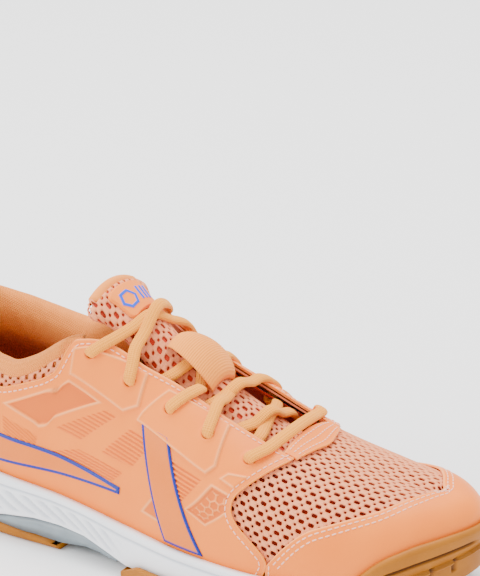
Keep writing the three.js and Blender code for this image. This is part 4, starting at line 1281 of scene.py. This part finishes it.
points, deep = collar_pad()
collar = piece(
    "padded_collar", points, tube_faces(*deep.shape), "shoe", "collar_knit", collar_finish, marks={"deep": deep},
    uv=laid_flat(points))
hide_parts("collar_lining", "collar_foam")

# ---------------------------------------------------------------- heel pieces
# A leather backstay covers the seam up the middle of the heel and is sewn at both sides. A moulded counter piece
# with soft ridges lies over its lower end, sewn round its edge.
backstay = Patch(50, 120, -0.0358, 0.0358, QUARTER_FOOT, 0.77, length=30, height=85)
groove = -0.35 * np.exp(-(((backstay.q * 1000) / 1.6) ** 2))
made = backstay.cut(
    "heel_backstay_leather", *PANEL, groove, "synthetic_leather", leather,
    marks={"edge": pale_near_edge(backstay.edge)})
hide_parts("heel_backstay")
stay_rows = [on_line(at, np.linspace(0.03, 0.755, 160), PANEL[1]) for at in (-0.028, 0.028)]
stitches("heel_backstay_stitching", stay_rows, thread)


def counter_top(q):
    return table([(0, 0.5), (0.04, 0.48), (0.085, 0.3)], fold(q), 0.008)


counter = Patch(170, 50, -0.085, 0.085, above_rim, counter_top, length=120, height=40)
ridges = 0.35 * smooth(3.5, 5, counter.edge) * ribs(counter.x * 0, counter.height, 3.4)
made = counter.cut(
    "heel_counter_leather", *FILM, ridges * (1 - smooth(20, 34, counter.height)), "synthetic_leather", leather,
    marks={"edge": pale_near_edge(counter.edge)})
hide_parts("heel_counter")
counter_q = np.linspace(-0.082, 0.082, 300)
low_v = np.linspace(float(above_rim(0.0835)[0]) + 0.02, 0.3, 40)
counter_rows = [on_line(*aside(counter_q, counter_top(counter_q), -2.2), FILM[1])]
counter_rows += [on_line(at, low_v, FILM[1]) for at in (-0.0825, 0.0825)]
stitches("heel_counter_stitching", counter_rows, thread)

# ---------------------------------------------------------------- sockliner
# A loose foam insole with a knitted top, die-cut and pressed to a slight cup at the heel. It lies on the board,
# clear of the lining all round, and lifts out.
SOCKLINER_THICK, SOCKLINER_INSET = 3.9, 5.8
s, t = grid(np.linspace(0.012, 0.488, 160), np.linspace(0, 1, 70))
bed = across_footbed(s, t, -SOCKLINER_INSET, feather_height(s))
across = lengths(bed, 1)
rim = np.minimum(across, across[:, -1:] - across)
cup = 0.7 * smooth(0, 14, rim) * (1 - smooth(90, 150, bed[..., 0]))
upper, lower = bed.copy(), bed.copy()
upper[..., 2] += SOCKLINER_THICK - cup - 0.8 * (1 - smooth(0, 1.5, rim)) ** 2
lower[..., 2] += 0.05
foot_knit = lining_knit("sockliner_knit", "#C2582A", "#E98A50")
sockliner = piece(
    "sockliner_pad", *slab(upper, lower), "insole", "foam", foot_knit, uv=both_faces(bed[..., :2]))
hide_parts("sockliner")

# ---------------------------------------------------------------- tongue
# A foam pad backed with knit lining, under the open mesh, which wraps round its edges and its free end. It is
# sewn to the vamp at the foot of the throat, and a knit binding finishes the free end.

# The upper face from the seam to the free end: x, z, half width, and the drop at the edges.
TONGUE = [
    (200, 57, 19, 6), (184, 64.5, 22, 12.5), (164, 75, 21, 16), (144, 85.5, 19, 16.5), (126, 97.5, 16, 15.5),
    (113, 107.5, 17, 11), (104, 113.5, 19, 9), (98, 117, 23, 8), (95, 118.5, 18, 5)]


def tongue_row(s):
    rows = np.array(TONGUE, float)
    place = np.clip(s, 0, 1) * (len(rows) - 1)
    i = np.minimum(np.floor(place).astype(int), len(rows) - 2)
    f = (place - i)[..., None]
    return spline(*(rows[np.clip(i + k, 0, len(rows) - 1)] for k in (-1, 0, 1, 2)), f)


def tongue_frame(s, across):
    """A point on the tongue's upper face with its normal, and the tongue's half width there."""
    row, ahead, behind = tongue_row(s), tongue_row(s + 0.01), tongue_row(s - 0.01)
    x, z, half, drop = (row[..., k] for k in range(4))
    along = unit(np.stack([ahead[..., 0] - behind[..., 0], 0 * x, ahead[..., 1] - behind[..., 1]], -1))
    slope = unit(np.stack([0 * x, half, -2 * drop * across], -1))
    normal = np.cross(along, slope)
    normal = unit(normal * np.where(normal[..., 2:] < 0, -1, 1))
    return np.stack([x, half * across, z - drop * across**2], -1), normal, half


def tongue_at(s, across, depth):
    """A point at a depth below the tongue's upper face."""
    s, across, depth = np.broadcast_arrays(*(np.asarray(a, float) for a in (s, across, depth)))
    point, normal, _ = tongue_frame(s, across)
    return point - normal * depth[..., None]


def half_width(s):
    return tongue_row(s)[..., 2]


def tongue_along(s, across):
    return unit(tongue_frame(s + STEP, across)[0] - tongue_frame(s - STEP, across)[0])


TONGUE_THICK = 5.4
tongue_s = np.linspace(0, 1, 401)
tongue_u = lengths(tongue_at(tongue_s, 0.0, 0.0), 0)


def tongue_wrap(u, w, depth):
    """Along the tongue by u and across it by w in millimetres, round its edges and its end, below its face."""
    radius = TONGUE_THICK / 2
    s = np.interp(u, tongue_u, tongue_s)
    half = half_width(s)
    straight = half - radius
    over = np.maximum(abs(w) - straight, 0)
    angle = np.minimum(over / radius, math.pi)
    beyond = np.maximum(over - math.pi * radius, 0)
    across = np.clip(w, -straight, straight) / half
    across = np.where(beyond > 0, np.sign(w) * (straight - beyond) / half, across)
    point, normal, _ = tongue_frame(s, across)
    outward = np.cross(normal, tongue_along(s, across))
    outward = outward * np.sign(outward[..., 1] * np.sign(w) + 1e-9)[..., None]
    reach = radius - depth
    point = point - normal * radius
    tip = np.maximum(u - (tongue_u[-1] - radius), 0) / radius
    fall = np.minimum(tip, 1.4)
    lift = np.cos(angle) * np.cos(np.where(over > 0, fall * 0.6, fall))
    swing = np.sin(angle) * (over > 0)
    return point + (normal * lift[..., None] + outward * swing[..., None]) * reach[..., None]


def bulged(wave, power):
    """A sine or cosine squared off by a power below 1, for a section fuller than an oval."""
    return np.sign(wave) * abs(wave) ** power


def tongue_core():
    """The pad: flat-oval sections along the tongue, inside the mesh, rounded off at the free end."""
    s, turn = grid(np.linspace(0, 1, 150), np.arange(72) / 72 * 2 * np.pi)
    thick, half = TONGUE_THICK - 1.6, half_width(s)
    end = np.sqrt(np.clip(1 - ((s - 0.975) / 0.025).clip(0, 1) ** 2, 0.02, 1))
    across = bulged(np.cos(turn), 0.45) * (half - 0.9) / half * (0.96 + 0.04 * end)
    depth = TONGUE_THICK / 2 - bulged(np.sin(turn), 0.8) * thick / 2 * (0.55 + 0.45 * end)
    return tongue_at(s, across, depth)


points = tongue_core()
tongue_pad = piece(
    "tongue_pad", points, tube_faces(*points.shape[:2]), "tongue", "rust_lining", rust_knit, uv=laid_flat(points))
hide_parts("tongue_foam", "tongue_lining")


def tongue_keep(u, w):
    half = half_width(np.interp(u, tongue_u, tongue_s))
    return (u > 1) & (u < tongue_u[-1] - 1.2) & (abs(w) < half + 5.2)


tongue_mesh = open_mesh(
    "tongue_mesh_knit", tongue_wrap, (0, float(tongue_u[-1])), (-34, 34), tongue_keep, "tongue", knit, thick=0.8)
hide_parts("tongue_mesh")
tip = np.linspace(-1, 1, 90)
tip_s = 0.992 - 0.012 * tip**2
tip_point, tip_normal, _ = tongue_frame(tip_s, tip * 0.93)
tip_path = evenly(tip_point - tip_normal * TONGUE_THICK / 2, tip_normal, step=0.8)
tube(
    "tongue_end_binding", [tip_path], TONGUE_THICK / 2 + 0.25, "collar_knit", collar_finish, body="tongue", sides=24,
    sunk=1.0)

# ---------------------------------------------------------------- tongue badge
# A moulded leather tab with rounded corners, cemented flat near the tongue's free end. A plain hexagon ring and
# three slanting bars stand up on it in blue.
BADGE_HALF, CORNER = np.array([6.5, 8.6]), 2.9
BADGE_SCALE, BADGE_FROM_END, HALF_UNDER_BADGE = 1.25, 12, 19.0
RING_RADIUS, RING_WIDE = 2.9, 1.1


def badge_finish(name):
    finish = Finish(name, Specular_IOR_Level=0.25)
    fine = finish.noise(3.0, 2)
    peach, blue = (
        finish.mix(fine, tint(low), tint(high)) for low, high in (("#F47A10", "#FF9030"), ("#0838B8", "#145CE4")))
    return finish.dress(finish.mix(finish.mark("print"), peach, blue), 0.38 + fine * 0.12, fine, 0.03)


x, y = grid(np.linspace(-1, 1, 120) * BADGE_HALF[0], np.linspace(-1, 1, 150) * BADGE_HALF[1])
spread = np.stack([x, y], -1)
straight = np.minimum(abs(spread), BADGE_HALF - CORNER)
past = abs(spread) - straight
away = np.linalg.norm(past, axis=-1)
inside = CORNER - away
hexagon = np.maximum(abs(x), abs(x) * 0.5 + abs(y + 3.6) * 0.866)
raised = smooth(0.15, -0.15, abs(hexagon - RING_RADIUS) - RING_WIDE / 2)
for at in (2.4, 4.6, 6.6):
    bar = np.maximum(abs(y - at + x * 0.25) - 0.62, abs(x) - 3.0)
    raised = np.maximum(raised, smooth(0.12, -0.12, bar))
spread = np.sign(spread) * (straight + past * (CORNER / np.maximum(away, CORNER))[..., None]) * BADGE_SCALE
along = np.interp(tongue_u[-1] - BADGE_FROM_END - spread[..., 0], tongue_u, tongue_s)
top, bottom = (
    tongue_at(along, spread[..., 1] / HALF_UNDER_BADGE, depth)
    for depth in (-(1.0 + 0.35 * raised) * smooth(-0.05, 0.7, inside) - 0.4, -0.05))
badge = piece(
    "tongue_badge_tab", *slab(top, bottom), "tongue", "synthetic_leather", badge_finish("badge_print"),
    marks={"print": both_faces(raised)})
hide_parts("tongue_badge")

# ---------------------------------------------------------------- lace keeper
# A loop of ribbed peach webbing, woven with a firm edge at both sides and sewn to the tongue at both ends. The
# laces cross under it, which keeps the tongue from sliding.


def ribbed_webbing(name):
    finish = Finish(name, Sheen_Weight=0.1, Specular_IOR_Level=0.15)
    threads = finish.noise(1.0, 3, finish.stretched((6.0, 0.8, 0)))
    return finish.dress(finish.mix(threads, tint("#F08A22"), tint("#FFA440")), 0.7, threads, 0.12)


KEEPER_ENDS, KEEPER_REACH, KEEPER_ARCH, KEEPER_THICK, KEEPER_RIBS = (0.328, 0.495), 0.42, 8.4, 0.85, 26
s, t = grid(np.linspace(0, 1, 260), np.linspace(-1, 1, 60))
rise = 0.3 + (KEEPER_ARCH - 0.3) * np.sin(np.pi * s) ** 0.5
weave = 0.11 * np.sin(2 * np.pi * s * KEEPER_RIBS) - 0.2 * smooth(0.93, 1.0, abs(t))
along = KEEPER_ENDS[0] + (KEEPER_ENDS[1] - KEEPER_ENDS[0]) * s
outer = tongue_at(along, t * KEEPER_REACH, -(rise + KEEPER_THICK + weave))
inner = tongue_at(along, t * KEEPER_REACH, -rise)
keeper = piece(
    "lace_keeper_webbing", *slab(outer, inner), "tongue", "webbing", ribbed_webbing("webbing"),
    uv=both_faces(laid_flat(outer)))
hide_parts("lace_keeper")

# ---------------------------------------------------------------- shoelace
# One flat-oval braided lace: a bar across the lowest eyelets, then crossed up to the top ones. Its two ends
# are tucked down inside the quarters, each in a clear plastic tip.
LACE_WIDE, LACE_THICK = 5.5, 2.9
BRAID_ALONG, BRAID_AROUND = 3.6, 4.2  # turns of the braid's two crossing waves, along the lace and round it


def braided_lace(name):
    finish = Finish(name, Sheen_Weight=0.08, Sheen_Roughness=0.4, Specular_IOR_Level=0.15)
    along, around = finish.split(finish.stretched((BRAID_ALONG, BRAID_AROUND, 0)))
    braid = (along + around).sine() * (along - around).sine()
    fine = finish.noise(3.0, 3)
    return finish.dress(
        finish.mix(braid * 0.3 + fine * 0.75, tint("#F29220"), tint("#FFAE3E")), 0.68, braid + fine * 0.5, 0.14)


def lace_point(side, q, v, offset):
    q = on_side(q, side)
    return on_last(q, v, offset), last_normal(q, v)


def over(side, q, v):
    return lace_point(side, q, v, 2.95)


def lip(side, q):
    return lace_point(side, q, 0.83, 1.9)


def beneath(side, q, v):
    return lace_point(side, q, v, -5.1)


def edge_at(side, q):
    return lace_point(side, q, 0.828, -3.4)


def into(side, row):
    """Down through an eyelet. The lace turns as it likes there."""
    return [(lace_point(side, *EYELETS[row], offset)[0], None) for offset in (2.6, -4.4)]


def out_of(side, row):
    return into(side, row)[::-1]


def across(first, end, *layers, held=False):
    """From one edge of the throat to the other, straight in plan, pulled taut over the tongue and the strands
    below, or held down on the tongue by the keeper."""
    plan = first[0] + (end[0] - first[0]) * np.array([0.25, 0.5, 0.75])[:, None]
    s = np.interp(-plan[:, 0], -tongue_row(tongue_s)[:, 0], tongue_s)
    rest, normal, _ = tongue_frame(s, plan[:, 1] / half_width(s))
    rest = rest + normal * (1.75 + np.array(layers) * 2.75)[:, None]
    if not held:
        rest[:, 2] = np.maximum(rest[:, 2], plan[:, 2] + 2.5 * np.array(layers))
    return [first, *zip(rest, normal), end]


L, M = "lateral", "medial"
LACE_ROUTE = [
    beneath(L, 0.224, 0.56), beneath(L, 0.213, 0.66), *out_of(L, 0), over(L, 0.207, 0.78),
    *across(lip(L, 0.212), lip(M, 0.227), 0, 0, 0),
    over(M, 0.229, 0.765), *into(M, 1), beneath(M, 0.241, 0.73),
    *across(edge_at(M, 0.248), lip(L, 0.271), 0, 0, 0, held=True),
    over(L, 0.268, 0.755), *into(L, 2), beneath(L, 0.275, 0.73),
    *across(edge_at(L, 0.281), lip(M, 0.288), 0.2, 1, 0.4),
    over(M, 0.291, 0.755), *into(M, 3), beneath(M, 0.303, 0.73),
    *across(edge_at(M, 0.307), edge_at(L, 0.321), 0, 0, 0),
    beneath(L, 0.319, 0.72), *out_of(L, 4), over(L, 0.333, 0.75),
    *across(lip(L, 0.3345), lip(M, 0.3345), 0.6, 0.8, 0.6),
    over(M, 0.333, 0.75), *into(M, 4), beneath(M, 0.319, 0.72),
    *across(edge_at(M, 0.318), edge_at(L, 0.308), 0.2, 1, 0.2),
    beneath(L, 0.303, 0.73), *out_of(L, 3), over(L, 0.291, 0.76),
    *across(lip(L, 0.287), edge_at(M, 0.28), 0, 0, 0),
    beneath(M, 0.273, 0.73), *out_of(M, 2), over(M, 0.261, 0.755),
    *across(lip(M, 0.26), edge_at(L, 0.249), 0.4, 1, 0.2, held=True),
    beneath(L, 0.241, 0.73), *out_of(L, 1), over(L, 0.229, 0.76),
    *across(lip(L, 0.225), lip(M, 0.212), 0.6, 1, 0.8),
    over(M, 0.207, 0.78), *into(M, 0), beneath(M, 0.213, 0.66), beneath(M, 0.224, 0.56),
]


def centripetal(points, step):
    """A smooth line through the points, close-spaced, and the place of each sample among them."""
    points = np.asarray(points, float)
    ends = np.vstack([2 * points[0] - points[1], points, 2 * points[-1] - points[-2]])
    knots = np.insert(np.cumsum(np.sqrt(np.linalg.norm(np.diff(ends, axis=0), axis=1))), 0, 0)
    line, places = [], []
    for k in range(1, len(ends) - 2):
        count = max(2, int(np.linalg.norm(ends[k + 1] - ends[k]) / step))
        t = np.linspace(knots[k], knots[k + 1], count, endpoint=False)[:, None]
        p, n = ends[k - 1:k + 3], knots[k - 1:k + 3]

        def between(low, high, one, other):
            return ((n[high] - t) * one + (t - n[low]) * other) / (n[high] - n[low])

        a = [between(i, i + 1, p[i], p[i + 1]) for i in range(3)]
        b = [between(i, i + 2, a[i], a[i + 1]) for i in range(2)]
        line.append(between(1, 2, *b))
        places.append(k - 1 + np.arange(count) / count)
    return np.vstack(line + [points[-1:]]), np.append(np.concatenate(places), len(points) - 1)


def lace_frames():
    """The lace's middle line, with its flat way and its thick way at each point."""
    points = np.array([point for point, _ in LACE_ROUTE])
    line, places = centripetal(points, 0.25)
    line, places = evenly(line, places[:, None], step=0.45)
    places = places[:, 0]
    along = unit(np.gradient(line, axis=0))
    sides, known = [], []
    for k, (_, normal) in enumerate(LACE_ROUTE):
        if normal is not None:
            here = np.argmin(abs(places - k))
            sides.append(unit(np.cross(normal, along[here])))
            known.append(k)
    for k in range(1, len(sides)):
        if sides[k] @ sides[k - 1] < 0:
            sides[k] = -sides[k]
    side = np.stack([np.interp(places, known, np.array(sides)[:, k]) for k in range(3)], -1)
    for _ in range(40):
        side[1:-1] = (side[:-2] + 2 * side[1:-1] + side[2:]) / 4
    side = unit(side - along * (side * along).sum(-1, keepdims=True))
    return line, side, np.cross(along, side)


lace_line, lace_side, lace_up = lace_frames()


def lace_mesh():
    at, turn = grid(lengths(lace_line, 0), np.arange(26) / 26 * 2 * np.pi)
    around = turn * 2.0
    along = at * BRAID_ALONG
    braid = 0.09 * np.cos(along + around * BRAID_AROUND) * np.cos(along - around * BRAID_AROUND)
    wide = bulged(np.cos(turn), 0.8) * (LACE_WIDE / 2 + braid + 0.06 * np.sin(at / 9.0))
    high = bulged(np.sin(turn), 0.9) * (LACE_THICK / 2 + braid)
    points = lace_line[:, None] + lace_side[:, None] * wide[..., None] + lace_up[:, None] * high[..., None]
    columns, rows = at.shape
    faces = grid_faces(columns, rows, closed=True).tolist()
    faces += [range(rows)[::-1], range((columns - 1) * rows, columns * rows)]
    return points, faces, np.stack([at, around], -1)


points, faces, uv = lace_mesh()
lace = piece("braided_shoelace", points, faces, "shoe", "lace_cord", braided_lace("lace_cord"), uv=uv)
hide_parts("shoelace")
TIP_RADIUS = 1.5
clear_tip = Finish("lace_tip", Coat_Weight=0.5, Specular_IOR_Level=0.6)
clear_tip.dress(
    clear_tip.mix(clear_tip.noise(0.6), tint("#F0A860"), tint("#FFC98C")), 0.18 + clear_tip.noise(1.5) * 0.08)
for side in (L, M):
    path, normals = zip(*(beneath(side, q, v) for q, v in ((0.2245, 0.552), (0.227, 0.51), (0.23, 0.46))))
    line, places = centripetal(path, 0.5)
    facing = np.stack([np.interp(places, range(3), np.array(normals)[:, k]) for k in range(3)], -1)
    made = tube(f"lace_tip_{side}", [(line, facing)], TIP_RADIUS, "aglet", clear_tip, sides=20, sunk=1.0)
    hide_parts(f"aglet_{side}")

# ---------------------------------------------------------------- floor and lights
# A plain pale floor under soft studio light: an even sky, a large lamp overhead and a smaller one at the front.
FLOOR_HALF, SKY = 6, 1.6
floor_mesh = bpy.data.meshes.new("floor")
floor_corners = [(FLOOR_HALF * x, FLOOR_HALF * y, 0) for x, y in ((-1, -1), (1, -1), (1, 1), (-1, 1))]
floor_mesh.from_pydata(floor_corners, [], [(0, 1, 2, 3)])
floor = bpy.data.objects.new("floor", floor_mesh)
bpy.context.scene.collection.objects.link(floor)
floor_finish = Finish("pale_floor", Roughness=0.9, Specular_IOR_Level=0.1)
floor_finish.dress(floor_finish.mix(floor_finish.noise(0.002), tint("#F2F2F2"), tint("#F5F5F5")))
floor_mesh.materials.append(floor_finish.material)

world = bpy.data.worlds.new("studio")
world.use_nodes = True
sky = world.node_tree.nodes["Background"]
sky.inputs["Color"].default_value, sky.inputs["Strength"].default_value = (1, 1, 1, 1), SKY
bpy.context.scene.world = world


def soft_light(name, energy, size, place):
    light = bpy.data.lights.new(name, "AREA")
    light.energy, light.size = energy, size
    holder = bpy.data.objects.new(name, light)
    holder.location = place
    holder.rotation_euler = Vector(place).to_track_quat("Z", "Y").to_euler()
    bpy.context.scene.collection.objects.link(holder)


soft_light("overhead", 80, 1.4, (-0.3, 0.4, 2.2))
soft_light("front_left", 30, 1.0, (-1.3, -1.3, 1.1))
